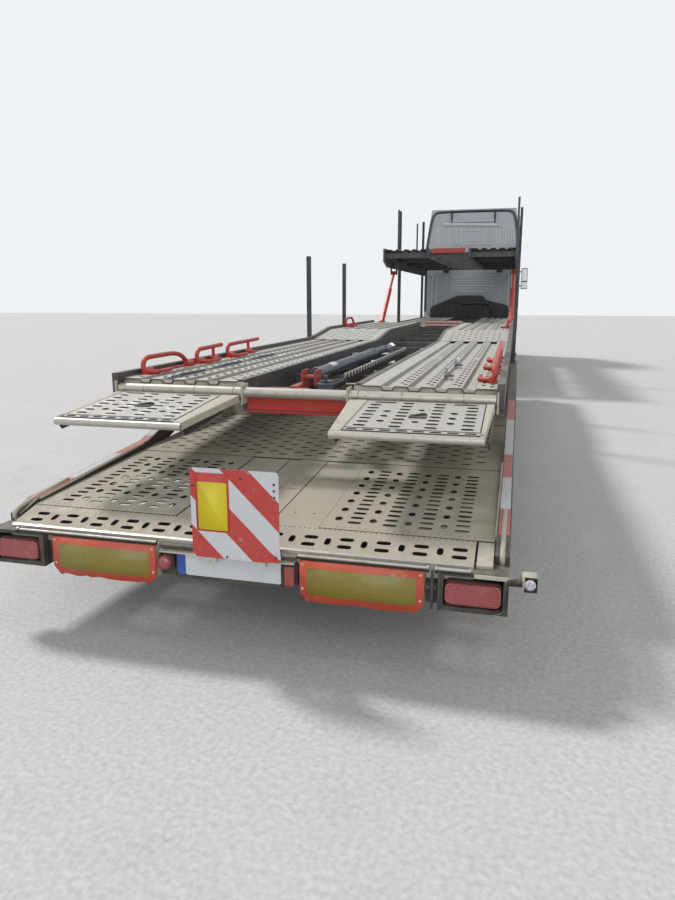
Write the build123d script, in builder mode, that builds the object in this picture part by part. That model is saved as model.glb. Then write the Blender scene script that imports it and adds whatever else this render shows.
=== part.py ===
from build123d import *
import os
from math import hypot, radians, tan

os.makedirs("parts", exist_ok=True)

# Car transporter: a two-axle truck with its own decks, and a trailer on a low pivot behind its rear axle.
# Millimetres, +Z up, the front towards -Y, the left side towards +X, the origin on the ground under the middle.
# A distance named "ahead" is measured forward from the rear face of the rear bumper.

# Lengths from the back to the front: the warning board's reach behind the rear bumper, the trailer, the gap
# between the decks, the truck's bed, the gap to the cab, the cab and its bumper
BOARD_PROUD = 45
TRAILER_L = 9180
DECK_GAP = 570
BED_L = 6480
CAB_GAP = 170
CAB_L = 2260
NOSE = 45
LENGTH = BOARD_PROUD + TRAILER_L + DECK_GAP + BED_L + CAB_GAP + CAB_L + NOSE
BUMPER_Y = LENGTH / 2 - BOARD_PROUD
FRONT_Y = -LENGTH / 2

# Widths: the trailer's side rails stand outside its lower deck, the upper decks hang between the side rails
BODY_W = 2550
HALF_W = BODY_W / 2
SIDE_RAIL_W = 65
LOWER_HALF = HALF_W - SIDE_RAIL_W
DECK_SIDE_GAP = 5
DECK_RAIL_W = 40
DECK_EDGE = LOWER_HALF - DECK_SIDE_GAP
TRACK_OUT = DECK_EDGE - DECK_RAIL_W
TRACK_IN = 350
CAB_HALF = HALF_W - 35

# Clearances
MOVE_GAP = 7
PIN_GAP = 2

# Flat sides that stand for round pieces
TYRE_SIDES = 24
RIM_SIDES = 12
BAR_SIDES = 8

# Truck wheels and axles
WHEEL_R = 470
TYRE_W = 290
RIM_R = 292
SHOULDER = 30
SEAT_T = 22
DISC_T = 14
TWIN_GAP = 40
FRONT_OVERHANG = 1425
WHEELBASE = 4950
WHEEL_INSET = 30
TRACK_HALF = HALF_W - TYRE_W / 2 - WHEEL_INSET
FRONT_AXLE_Y = FRONT_Y + FRONT_OVERHANG
REAR_AXLE_Y = FRONT_AXLE_Y + WHEELBASE
KINGPIN_X = TRACK_HALF - 170
ARCH_R = 600
AXLE_R = 62
SPINDLE_R = 52
KNUCKLE_R = 45
HUB_REACH = 190
HUB_R = 108
HUB_CAP = 14
DRUM_R = 180
REAR_PAIR = (TRACK_HALF, TRACK_HALF - TYRE_W - TWIN_GAP)
REAR_MIDDLE = (REAR_PAIR[0] + REAR_PAIR[1]) / 2

# Trailer wheels and axles
T_WHEEL_R = 394
T_TYRE_W = 240
T_RIM_R = 228
T_DRUM_R = 150
T_AXLES_AHEAD = (3180, 4500)
T_PAIR = (TRACK_HALF - 8, TRACK_HALF - 8 - T_TYRE_W - TWIN_GAP)
T_MIDDLE = (T_PAIR[0] + T_PAIR[1]) / 2

# Truck frame and coupling
RAIL_X = 460
RAIL_H = 270
RAIL_TOP = 890
RAIL_LOW = RAIL_TOP - RAIL_H
RAIL_WEB = 9
RAIL_FLANGE = 85
RAIL_REAR_Y = REAR_AXLE_Y + 650
PIVOT_Y = REAR_AXLE_Y + 1300
PIVOT_Z = 470
PIN_R = 40
EYE_T = 60
JAW_R = 125

# Decks: the wheel tracks run lengthwise from TRACK_IN to TRACK_OUT on both sides of the middle
CHANNEL_W = 40
CROSS_L = 60
RIBS = 5
SHEET = 8
RIB_H = 26

# Trailer upper deck, lowered as it stands
DECK_LOW = 1035
DECK_TOP = 1160
DECK_STEP = 90
TUBE_AHEAD = 1087
TUBE_Z = 1100
TUBE_R = 38
STEP_AHEAD = 5400
BRIDGE_END = 6250
DECK_FRONT_AHEAD = TRAILER_L

# Trailer lower deck
LOWER_SHEET = 12
WELL_IN = 640
WELL_TOP = 865

# Ramp flaps
FLAP_IN = 405
FLAP_OUT = TRACK_OUT - MOVE_GAP
FLAP_L = 650
FLAP_T = 42
FLAP_DROOP = 8
SLOT_COLUMNS = (0.115, 0.335, 0.665, 0.885)
SLOT_ROWS = 4
SLOT_MARGIN = 110
SLOT_L = 72
SLOT_W = 26
CHEEK_T = 8
CHEEK_DEPTH = 18

# Truck bed and truck upper deck
BED_TOP = 1150
BED_LOW = 1000
BED_REAR_AHEAD = TRAILER_L + DECK_GAP
BED_FRONT_AHEAD = BED_REAR_AHEAD + BED_L
UPPER_TOP = 2530
UPPER_DEPTH = 300
UPPER_REAR_AHEAD = BED_REAR_AHEAD + 390
UPPER_FRONT_AHEAD = BED_FRONT_AHEAD - 80
COLUMN_W = 50
COLUMN_L = 110

# Lift struts
STRUT_FOOT = (BED_REAR_AHEAD + 50, 1212)
STRUT_HEAD = (BED_REAR_AHEAD + 1250, 2145)
STRUT_X = DECK_EDGE - 55
STRUT_R = 42
ROD_R = 26

# Cab
CAB_WALL = 60
CAB_FRONT_Y = FRONT_Y + NOSE
CAB_REAR_Y = CAB_FRONT_Y + CAB_L
CAB_FLOOR = 1150
CAB_EAVES = 3000
CAB_TOP = 3950
SCREEN_FOOT = 1950
SCREEN_HEAD = 2880
SCREEN_RAKE = 240
GLASS = 8
BUMPER_TOP = 840
BUMPER_DEPTH = 330
INSIDE = CAB_HALF - CAB_WALL


def ahead(d):
    """The Y of a place d in front of the rear bumper's face."""
    return BUMPER_Y - d


def side_view(x):
    """A sketch plane across the vehicle: its axes are (Y, Z) and it grows towards +X."""
    return Plane.YZ.offset(x)


def rear_view(y):
    """A sketch plane along the vehicle: its axes are (X, Z) and it grows towards the front."""
    return Plane.XZ.offset(-y)


def save(part, name):
    """Name a finished piece and write its STEP file."""
    part.label = name
    export_step(part, f"parts/{name}.step")


def save_pair(left, name):
    """Write a left piece and its mirror image across the middle of the vehicle."""
    save(left, f"{name}_left")
    with BuildPart() as right:
        mirror(left, about=Plane.YZ)
    save(right.part, f"{name}_right")


def save_members(name, *groups):
    """Write members that butt against each other as the separate solids of one piece."""
    save(Compound([solid for group in groups for solid in group.part.solids()]), name)


def spread(first, last, count):
    """Evenly spaced stations from first to last."""
    return [first + (last - first) * i / (count - 1) for i in range(count)]


def block(x, y, z, mode=Mode.ADD):
    """A rectangular bar from its (low, high) spans along X, Y and Z."""
    with Locations(((x[0] + x[1]) / 2, (y[0] + y[1]) / 2, (z[0] + z[1]) / 2)):
        Box(abs(x[1] - x[0]), abs(y[1] - y[0]), abs(z[1] - z[0]), mode=mode)


def slab(points, x0, x1, mode=Mode.ADD):
    """A plate with a side outline of (Y, Z) points between two stations across the vehicle."""
    with BuildSketch(side_view(min(x0, x1))) as outline:
        with BuildLine():
            Polyline(*points, close=True)
        make_face()
    extrude(outline.sketch, amount=abs(x1 - x0), mode=mode)


def run(points, y_from, length, mode=Mode.ADD):
    """A bar with a section of (X, Z) points that runs forward from y_from."""
    with BuildSketch(rear_view(y_from)) as section:
        with BuildLine():
            Polyline(*points, close=True)
        make_face()
    extrude(section.sketch, amount=length, mode=mode)


def plan(points, z0, z1, mode=Mode.ADD):
    """A plate with an outline of (X, Y) points between two heights."""
    with BuildSketch(Plane.XY.offset(z0)) as outline:
        with BuildLine():
            Polyline(*points, close=True)
        make_face()
    extrude(outline.sketch, amount=z1 - z0, mode=mode)


def cross_members(stations, z):
    """Cross-members of a deck frame, each in three lengths between the rails and the inner channels."""
    channel = TRACK_IN + CHANNEL_W
    for d in stations:
        for x in ((-TRACK_OUT, -channel), (-TRACK_IN, TRACK_IN), (channel, TRACK_OUT)):
            block(x, (ahead(d) - CROSS_L / 2, ahead(d) + CROSS_L / 2), z)


def rod(start, end, radius, mode=Mode.ADD):
    """A round bar between two points with its corners on the radius, or a bore with its flats on it."""
    line = Vector(*end) - Vector(*start)
    with BuildSketch(Plane(origin=start, z_dir=line)) as disc:
        RegularPolygon(radius, BAR_SIDES, major_radius=mode == Mode.ADD)
    extrude(disc.sketch, amount=line.length, mode=mode)


def plank_points(x_in, x_out, z_top):
    """Section of a corrugated plank: RIBS flat ridges with grooves between them, one sheet thick."""
    pitch = (x_out - x_in) / RIBS
    slope = RIB_H / 2
    top = [(x_in, z_top)]
    for rib in range(1, RIBS):
        groove = x_in + rib * pitch
        half = pitch * 0.16
        top += [
            (groove - half - slope, z_top),
            (groove - half, z_top - RIB_H),
            (groove + half, z_top - RIB_H),
            (groove + half + slope, z_top),
        ]
    top.append((x_out, z_top))
    under = [(x, z - SHEET) for x, z in reversed(top)]
    return top + under


def plank(side, d0, d1, z_top):
    """One corrugated plank of the left (+1) or right (-1) track from d0 to d1 ahead."""
    points = plank_points(TRACK_IN + CHANNEL_W, TRACK_OUT, z_top)
    run([(side * x, z) for x, z in points], ahead(d0), d1 - d0)


def bridge(side, d0, z0, d1, z1, mode=Mode.ADD):
    """A sloping plate of one track between two heights."""
    line = [(ahead(d0), z0), (ahead(d1), z1), (ahead(d1), z1 - SHEET), (ahead(d0), z0 - SHEET)]
    slab(line, side * (TRACK_IN + CHANNEL_W), side * TRACK_OUT, mode)


def turned(x, y, z, radius, sides, mode=Mode.ADD):
    """A round block about a wheel's axis over the (low, high) span x, its flats on the radius."""
    with BuildSketch(side_view(x[0])) as outline:
        with Locations((y, z)):
            RegularPolygon(radius, sides, major_radius=False, rotation=180 / sides)
    extrude(outline.sketch, amount=x[1] - x[0], mode=mode)


def tyre(y, z, radius, rim_radius, width):
    """A tyre about the middle of its width: the tread, its cut shoulders and the seat for the rim."""
    span = (-width / 2, width / 2)
    turned(span, y, z, radius, TYRE_SIDES)
    chamfer(edges(Select.LAST).filter_by(Axis.X, reverse=True), SHOULDER)
    turned(span, y, z, rim_radius, RIM_SIDES, mode=Mode.SUBTRACT)


def rim(x, y, z, radius, width, opens):
    """A steel wheel: the ring that seats the tyre and its disc; the pocket opens outwards (+1) or inwards (-1)."""
    low = x - width * 0.4
    high = x + width * 0.4
    turned((low, high), y, z, radius - 1, RIM_SIDES)
    pocket = (low + DISC_T, high) if opens > 0 else (low, high - DISC_T)
    turned(pocket, y, z, radius - 1 - SEAT_T, RIM_SIDES, mode=Mode.SUBTRACT)


def twin_hub(y, z, middle, drum_r):
    """The hub of a pair of twins with its brake drum, closed by a cap outside and bored for the spindle."""
    end = middle + HUB_REACH + PIN_GAP
    turned((middle - 200, middle - 60), y, z, drum_r, RIM_SIDES)
    turned((middle - 60, end + HUB_CAP), y, z, HUB_R, BAR_SIDES)
    rod((middle - 201, y, z), (end, y, z), SPINDLE_R + PIN_GAP, mode=Mode.SUBTRACT)


# Truck frame: two channel rails, cross-members, cab brackets and the coupling jaw behind the axle
RAIL_FRONT_Y = CAB_FRONT_Y + 180
RAIL_IN = RAIL_X - RAIL_WEB
ENGINE_FRONT_Y = CAB_FRONT_Y + 520
ENGINE_L = 1350
FRAME_CROSS = [RAIL_FRONT_Y + 60] + spread(ENGINE_FRONT_Y + ENGINE_L + 200, REAR_AXLE_Y - 640, 4)
with BuildPart() as chassis_rails:
    for side in (1, -1):
        channel = [
            (RAIL_X, RAIL_TOP),
            (RAIL_X - RAIL_FLANGE, RAIL_TOP),
            (RAIL_X - RAIL_FLANGE, RAIL_TOP - RAIL_WEB),
            (RAIL_IN, RAIL_TOP - RAIL_WEB),
            (RAIL_IN, RAIL_LOW + RAIL_WEB),
            (RAIL_X - RAIL_FLANGE, RAIL_LOW + RAIL_WEB),
            (RAIL_X - RAIL_FLANGE, RAIL_LOW),
            (RAIL_X, RAIL_LOW),
        ]
        run([(side * x, z) for x, z in channel], RAIL_REAR_Y, RAIL_REAR_Y - RAIL_FRONT_Y)

with BuildPart() as chassis_crossbars:
    for y in FRAME_CROSS:
        block((-RAIL_IN, RAIL_IN), (y - 40, y + 40), (RAIL_LOW + 40, RAIL_TOP - 40))

with BuildPart() as cab_brackets:
    for side in (1, -1):
        for y in (CAB_FRONT_Y + 300, CAB_REAR_Y - 250):
            block((side * (RAIL_X - 80), side * RAIL_X), (y - 60, y + 60), (RAIL_TOP, CAB_FLOOR))

# The jaw hangs under the rear cross-member; its pin stands through the drawbar's eye
JAW_PLATE = 25
JAW_GAP = 20
JAW_FRONT_Y = PIVOT_Y - JAW_R - 30
JAW_LOW = PIVOT_Z - EYE_T / 2 - JAW_GAP - JAW_PLATE
JAW_TOP = PIVOT_Z + EYE_T / 2 + JAW_GAP
with BuildPart() as jaw:
    for z in (JAW_LOW, JAW_TOP):
        block((-JAW_R, JAW_R), (JAW_FRONT_Y, PIVOT_Y + 60), (z, z + JAW_PLATE))
    block((-JAW_R, JAW_R), (JAW_FRONT_Y, JAW_FRONT_Y + 30), (JAW_LOW, JAW_TOP + JAW_PLATE))
    rod((0, PIVOT_Y, JAW_LOW + 5), (0, PIVOT_Y, JAW_TOP + 5), PIN_R)
    for side in (1, -1):
        cheek = [
            (RAIL_REAR_Y - 20, RAIL_LOW + 60),
            (RAIL_REAR_Y - 20, RAIL_LOW - 60),
            (JAW_FRONT_Y + 20, JAW_LOW + 5),
            (JAW_FRONT_Y + 20, JAW_TOP + JAW_PLATE - 1),
            (RAIL_REAR_Y + 150, RAIL_LOW + 60),
        ]
        slab(cheek, side * (JAW_R - 25), side * JAW_R)
    block((-RAIL_IN, RAIL_IN), (RAIL_REAR_Y - 100, RAIL_REAR_Y - 20), (RAIL_LOW + RAIL_WEB, RAIL_TOP - 40))
save_members("truck_frame", chassis_rails, chassis_crossbars, cab_brackets, jaw)

# Engine block between the rails
with BuildPart() as engine:
    half = RAIL_X - RAIL_FLANGE
    block((-half, half), (ENGINE_FRONT_Y, ENGINE_FRONT_Y + ENGINE_L), (640, 1090))
save(engine.part, "engine_block")

# Axles of the truck: the front beam with its kingpin ends and the rear axle with its differential
with BuildPart() as truck_axles:
    front = [
        (-KINGPIN_X + 60, WHEEL_R + 60),
        (-KINGPIN_X + 60, WHEEL_R - 60),
        (-KINGPIN_X + 150, WHEEL_R - 60),
        (-KINGPIN_X + 300, WHEEL_R - 110),
        (KINGPIN_X - 300, WHEEL_R - 110),
        (KINGPIN_X - 150, WHEEL_R - 60),
        (KINGPIN_X - 60, WHEEL_R - 60),
        (KINGPIN_X - 60, WHEEL_R + 60),
        (KINGPIN_X - 180, WHEEL_R + 40),
        (KINGPIN_X - 320, WHEEL_R - 10),
        (-KINGPIN_X + 320, WHEEL_R - 10),
        (-KINGPIN_X + 180, WHEEL_R + 40),
    ]
    run(front, FRONT_AXLE_Y + 55, 110)
    for side in (1, -1):
        block((side * 380, side * 450), (FRONT_AXLE_Y - 50, FRONT_AXLE_Y + 50), (WHEEL_R - 40, RAIL_LOW))
    rod((-600, REAR_AXLE_Y, WHEEL_R), (600, REAR_AXLE_Y, WHEEL_R), AXLE_R + 18)
    reach = REAR_MIDDLE + HUB_REACH
    rod((-reach, REAR_AXLE_Y, WHEEL_R), (reach, REAR_AXLE_Y, WHEEL_R), SPINDLE_R)
    with BuildSketch(rear_view(REAR_AXLE_Y + 110)) as banjo:
        with Locations((0, WHEEL_R)):
            RegularPolygon(215, RIM_SIDES)
    extrude(banjo.sketch, amount=220)
    rod((0, REAR_AXLE_Y - 100, WHEEL_R), (0, REAR_AXLE_Y - 330, WHEEL_R + 40), 95)
    for side in (1, -1):
        block((side * 390, side * 450), (REAR_AXLE_Y - 55, REAR_AXLE_Y + 55), (WHEEL_R + 20, RAIL_LOW))
save(truck_axles.part, "truck_axles")

# Steering knuckles with the wheel spindle and the kingpin bosses
with BuildPart() as knuckle:
    rod((KINGPIN_X, FRONT_AXLE_Y, WHEEL_R - 120), (KINGPIN_X, FRONT_AXLE_Y, WHEEL_R + 120), 48)
    rod((KINGPIN_X, FRONT_AXLE_Y, WHEEL_R), (TRACK_HALF + 60, FRONT_AXLE_Y, WHEEL_R), KNUCKLE_R)
    rod((KINGPIN_X + 30, FRONT_AXLE_Y, WHEEL_R), (KINGPIN_X + 60, FRONT_AXLE_Y, WHEEL_R), 190)
    slab(
        [
            (FRONT_AXLE_Y, WHEEL_R - 90),
            (FRONT_AXLE_Y + 230, WHEEL_R - 70),
            (FRONT_AXLE_Y + 230, WHEEL_R - 110),
            (FRONT_AXLE_Y, WHEEL_R - 118),
        ],
        KINGPIN_X - 30,
        KINGPIN_X + 30,
    )
save_pair(knuckle.part, "knuckle")

# Truck wheels: a single one in front, twins at the rear, each on its own hub
with BuildPart() as truck_tyre:
    tyre(0, WHEEL_R, WHEEL_R, RIM_R, TYRE_W)

with BuildPart() as front_tyre:
    with Locations((TRACK_HALF, FRONT_AXLE_Y, 0)):
        add(truck_tyre.part)
save_pair(front_tyre.part, "front_tyre")

with BuildPart() as rear_tyres:
    with Locations(*[(x, REAR_AXLE_Y, 0) for x in REAR_PAIR]):
        add(truck_tyre.part)
save_pair(rear_tyres.part, "rear_tyres")

FRONT_HUB = (TRACK_HALF - 30, TRACK_HALF + 135)
with BuildPart() as front_rim:
    rim(TRACK_HALF, FRONT_AXLE_Y, WHEEL_R, RIM_R, TYRE_W, -1)
    turned(FRONT_HUB, FRONT_AXLE_Y, WHEEL_R, HUB_R, BAR_SIDES)
    bore_end = (TRACK_HALF + 60 + PIN_GAP, FRONT_AXLE_Y, WHEEL_R)
    rod((FRONT_HUB[0] - 1, FRONT_AXLE_Y, WHEEL_R), bore_end, KNUCKLE_R + PIN_GAP, mode=Mode.SUBTRACT)
save_pair(front_rim.part, "front_rim")

with BuildPart() as rear_rims:
    for x, opens in zip(REAR_PAIR, (1, -1)):
        rim(x, REAR_AXLE_Y, WHEEL_R, RIM_R, TYRE_W, opens)
    twin_hub(REAR_AXLE_Y, WHEEL_R, REAR_MIDDLE, DRUM_R)
save_pair(rear_rims.part, "rear_rims")

# Fuel tank on the right, battery box and air vessels on the left, hung beside the rails
# side, rear end behind the front axle, length, bottom, top, width, corner
TANKS = ((-1, 2700, 1500, 420, 980, 600, 90), (1, 2350, 1100, 470, 970, 560, 60))
TANK_REACH = HALF_W - 95
with BuildPart() as tanks:
    for side, rear, length, bottom, top, width, corner in TANKS:
        with BuildSketch(rear_view(FRONT_AXLE_Y + rear)):
            with Locations((side * (TANK_REACH - width / 2), (bottom + top) / 2)):
                Rectangle(width, top - bottom)
            chamfer(vertices(), corner)
        extrude(amount=length)

with BuildPart() as tank_brackets:
    for side, rear, length, bottom, top, width, corner in TANKS:
        for y in (FRONT_AXLE_Y + rear - 200, FRONT_AXLE_Y + rear - length + 200):
            block((side * RAIL_X, side * (TANK_REACH - width)), (y - 30, y + 30), (680, 760))
save_members("fuel_tanks", tanks, tank_brackets)

# Rear mudguards, an arched sheet over each pair of twins
GUARD_R = WHEEL_R + 55
GUARD_T = 7
GUARD_W = 625
GUARD_IN = HALF_W - 30 - GUARD_W
with BuildPart() as mudguards:
    for side in (1, -1):
        with BuildSketch(side_view(GUARD_IN if side > 0 else -GUARD_IN - GUARD_W)):
            with Locations((REAR_AXLE_Y, WHEEL_R)):
                RegularPolygon(GUARD_R, RIM_SIDES, major_radius=False, rotation=180 / RIM_SIDES)
                RegularPolygon(
                    GUARD_R - GUARD_T, RIM_SIDES, major_radius=False, rotation=180 / RIM_SIDES, mode=Mode.SUBTRACT
                )
            with Locations((REAR_AXLE_Y, WHEEL_R - 380)):
                Rectangle(1400, 1100, mode=Mode.SUBTRACT)
        extrude(amount=GUARD_W)
        y = (REAR_AXLE_Y - 25, REAR_AXLE_Y + 25)
        block((side * RAIL_X, side * GUARD_IN), y, (RAIL_TOP - 60, RAIL_TOP))
        block((side * (GUARD_IN - 20), side * GUARD_IN), y, (RAIL_TOP - 60, WHEEL_R + GUARD_R))
save(mudguards.part, "mudguards")

# Truck bed: side rails, inner channels and cross-members on two beams over the chassis
BED_CROSS = spread(BED_REAR_AHEAD + 80, BED_FRONT_AHEAD - 50, 6)
BED_CROSS_LOW = BED_LOW + 40
with BuildPart() as bed_rails:
    for side in (1, -1):
        rail = [
            (ahead(BED_REAR_AHEAD), BED_TOP + 20),
            (ahead(BED_REAR_AHEAD), BED_LOW + 40),
            (ahead(BED_REAR_AHEAD + 200), BED_LOW),
            (ahead(BED_FRONT_AHEAD), BED_LOW),
            (ahead(BED_FRONT_AHEAD), BED_TOP + 20),
        ]
        slab(rail, side * TRACK_OUT, side * DECK_EDGE)
        y = (ahead(BED_FRONT_AHEAD), ahead(BED_REAR_AHEAD))
        block((side * TRACK_IN, side * (TRACK_IN + CHANNEL_W)), y, (BED_CROSS_LOW, BED_TOP + 5))

with BuildPart() as bed_beams:
    for side in (1, -1):
        beam = [
            (ahead(BED_REAR_AHEAD + 60), BED_CROSS_LOW),
            (ahead(BED_REAR_AHEAD + 60), RAIL_TOP + 60),
            (ahead(BED_REAR_AHEAD + 600), RAIL_TOP),
            (ahead(BED_FRONT_AHEAD), RAIL_TOP),
            (ahead(BED_FRONT_AHEAD), BED_CROSS_LOW),
        ]
        slab(beam, side * (RAIL_X - 60), side * (RAIL_X - 10))

with BuildPart() as bed_crossbars:
    cross_members(BED_CROSS, (BED_CROSS_LOW, BED_CROSS_LOW + 60))

# A bracket at each side holds the strut's foot between two ears on a pin
EAR_IN = STRUT_X - STRUT_R - MOVE_GAP
EAR_OUT = STRUT_X + STRUT_R + MOVE_GAP
EAR_T = 15
STRUT_PIN_R = 14
foot_y = ahead(STRUT_FOOT[0])
with BuildPart() as strut_feet:
    for side in (1, -1):
        for low, x in ((BED_TOP, (EAR_IN - EAR_T, EAR_IN)), (BED_TOP + 20, (EAR_OUT, DECK_EDGE))):
            ear = [
                (foot_y - 48, low),
                (foot_y + 48, low),
                (foot_y + 35, STRUT_FOOT[1] + 35),
                (foot_y - 35, STRUT_FOOT[1] + 35),
            ]
            slab(ear, side * x[0], side * x[1])
        seat = (side * (EAR_IN - EAR_T), side * TRACK_OUT)
        block(seat, (foot_y - 48, foot_y + 48), (BED_CROSS_LOW + 60, BED_TOP))
        pin = (side * (EAR_IN - EAR_T / 2), side * (EAR_OUT + 3))
        rod((pin[0], foot_y, STRUT_FOOT[1]), (pin[1], foot_y, STRUT_FOOT[1]), STRUT_PIN_R)
save_members("bed_frame", bed_rails, bed_beams, bed_crossbars, strut_feet)

with BuildPart() as bed_planks:
    for side in (1, -1):
        plank(side, BED_REAR_AHEAD + 180, BED_FRONT_AHEAD, BED_TOP)
save(bed_planks.part, "bed_planks")

# Lift columns with lock slots, standing outside the bed rails; the table gives ahead and top height
COLUMNS = ((BED_REAR_AHEAD + 2450, 3440), (BED_FRONT_AHEAD - 330, 3600))
COLUMN_IN = DECK_EDGE + MOVE_GAP
SLOT_PITCH = 400
with BuildPart() as columns:
    for side in (1, -1):
        for d, top in COLUMNS:
            y = (ahead(d) - COLUMN_L / 2, ahead(d) + COLUMN_L / 2)
            block((side * COLUMN_IN, side * (COLUMN_IN + COLUMN_W)), y, (BED_LOW + 10, top))
            block((side * DECK_EDGE, side * COLUMN_IN), y, (BED_LOW + 10, BED_TOP))
            for z in range(1500, int(top) - 100, SLOT_PITCH):
                slot = (side * (COLUMN_IN - 5), side * (COLUMN_IN + COLUMN_W + 5))
                block(slot, (ahead(d) - 14, ahead(d) + 14), (z - 32, z + 32), mode=Mode.SUBTRACT)
save(columns.part, "lift_columns")

# Truck upper deck: deep girders, inner channels, cross-members and the handrail posts
UPPER_LOW = UPPER_TOP - UPPER_DEPTH
UPPER_CROSS = spread(UPPER_REAR_AHEAD + 100, UPPER_FRONT_AHEAD - 100, 5)
# side, ahead of the deck's rear end, height above the deck
HANDRAILS = ((-1, 60, 850), (1, 1560, 880), (1, 4260, 880), (-1, 3160, 880), (-1, 5360, 880))
with BuildPart() as upper_rails:
    for side in (1, -1):
        girder = [
            (ahead(UPPER_REAR_AHEAD), UPPER_TOP + 20),
            (ahead(UPPER_REAR_AHEAD), UPPER_LOW + 90),
            (ahead(UPPER_REAR_AHEAD + 350), UPPER_LOW),
            (ahead(UPPER_FRONT_AHEAD - 350), UPPER_LOW),
            (ahead(UPPER_FRONT_AHEAD), UPPER_LOW + 90),
            (ahead(UPPER_FRONT_AHEAD), UPPER_TOP + 20),
        ]
        slab(girder, side * TRACK_OUT, side * DECK_EDGE)
        y = (ahead(UPPER_FRONT_AHEAD), ahead(UPPER_REAR_AHEAD))
        block((side * TRACK_IN, side * (TRACK_IN + CHANNEL_W)), y, (UPPER_LOW + 150, UPPER_TOP + 5))

with BuildPart() as upper_crossbars:
    cross_members(UPPER_CROSS, (UPPER_LOW + 150, UPPER_LOW + 240))

with BuildPart() as handrails:
    for side, d, height in HANDRAILS:
        x = side * (TRACK_OUT + DECK_RAIL_W / 2)
        y = ahead(UPPER_REAR_AHEAD + d)
        rod((x, y, UPPER_TOP + 20), (x, y, UPPER_TOP + height), 19)

# The ears that the strut's rod reaches, the outer one under the girder and the inner one on a seat beside it
head_y = ahead(STRUT_HEAD[0])
with BuildPart() as strut_heads:
    for side in (1, -1):
        for top, x in ((UPPER_LOW + 90, (EAR_IN - EAR_T, EAR_IN)), (UPPER_LOW, (EAR_OUT, DECK_EDGE))):
            ear = [
                (head_y - 90, top),
                (head_y + 90, top),
                (head_y + 40, STRUT_HEAD[1] - 40),
                (head_y - 40, STRUT_HEAD[1] - 40),
            ]
            slab(ear, side * x[0], side * x[1])
        seat = (side * EAR_IN, side * TRACK_OUT)
        block(seat, (head_y - 90, head_y + 90), (UPPER_LOW + 60, UPPER_LOW + 90))
save_members("upper_deck_frame", upper_rails, upper_crossbars, handrails, strut_heads)

with BuildPart() as upper_planks:
    for side in (1, -1):
        plank(side, UPPER_REAR_AHEAD, UPPER_FRONT_AHEAD, UPPER_TOP)
save(upper_planks.part, "upper_deck_planks")

# Lift struts: the barrel turns on the bed, the rod slides in it up to the upper deck
foot = (ahead(STRUT_FOOT[0]), STRUT_FOOT[1])
head = (ahead(STRUT_HEAD[0]), STRUT_HEAD[1])
strut_length = hypot(head[0] - foot[0], head[1] - foot[1])
strut_dir = ((head[0] - foot[0]) / strut_length, (head[1] - foot[1]) / strut_length)


def on_strut(s):
    """The point at distance s along the left strut from its foot."""
    return (STRUT_X, foot[0] + strut_dir[0] * s, foot[1] + strut_dir[1] * s)


BARREL_L = 1000
with BuildPart() as barrel:
    rod(on_strut(30), on_strut(BARREL_L), STRUT_R)
    rod((STRUT_X - STRUT_R, foot[0], foot[1]), (STRUT_X + STRUT_R, foot[0], foot[1]), 38)
    bore = STRUT_PIN_R + PIN_GAP
    rod((STRUT_X - 60, foot[0], foot[1]), (STRUT_X + 60, foot[0], foot[1]), bore, mode=Mode.SUBTRACT)
    rod(on_strut(60), on_strut(BARREL_L + 1), ROD_R + PIN_GAP, mode=Mode.SUBTRACT)
save_pair(barrel.part, "strut_barrel")

with BuildPart() as strut_rod:
    rod(on_strut(400), on_strut(strut_length), ROD_R)
    rod((STRUT_X - STRUT_R, head[0], head[1]), (STRUT_X + STRUT_R, head[0], head[1]), 34)
save_pair(strut_rod.part, "strut_rod")

# Cab: floor, walls, roof and front, each as thick as the real double-skinned panel
CAB_LINE = [
    (CAB_FRONT_Y, CAB_FLOOR),
    (CAB_REAR_Y, CAB_FLOOR),
    (CAB_REAR_Y, CAB_EAVES),
    (CAB_FRONT_Y + SCREEN_RAKE, CAB_EAVES),
    (CAB_FRONT_Y, SCREEN_FOOT),
]
DOOR_FRONT_Y = CAB_FRONT_Y + 190
DOOR_REAR_Y = DOOR_FRONT_Y + 1060
DOOR_LOW = 1090
DOOR_HIGH = 2780
DOOR_LINE = [
    (DOOR_FRONT_Y, DOOR_LOW),
    (DOOR_REAR_Y, DOOR_LOW),
    (DOOR_REAR_Y, DOOR_HIGH),
    (DOOR_FRONT_Y + 200, DOOR_HIGH),
    (DOOR_FRONT_Y, SCREEN_FOOT + 20),
]
WINDOW_LINE = [
    (DOOR_FRONT_Y + 90, SCREEN_FOOT + 10),
    (DOOR_REAR_Y - 90, SCREEN_FOOT + 60),
    (DOOR_REAR_Y - 90, DOOR_HIGH - 90),
    (DOOR_FRONT_Y + 260, DOOR_HIGH - 90),
]
with BuildPart() as cab_floor:
    block((-INSIDE, INSIDE), (CAB_FRONT_Y + CAB_WALL, CAB_REAR_Y - CAB_WALL), (CAB_FLOOR, CAB_FLOOR + 60))
save(cab_floor.part, "cab_floor")

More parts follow.
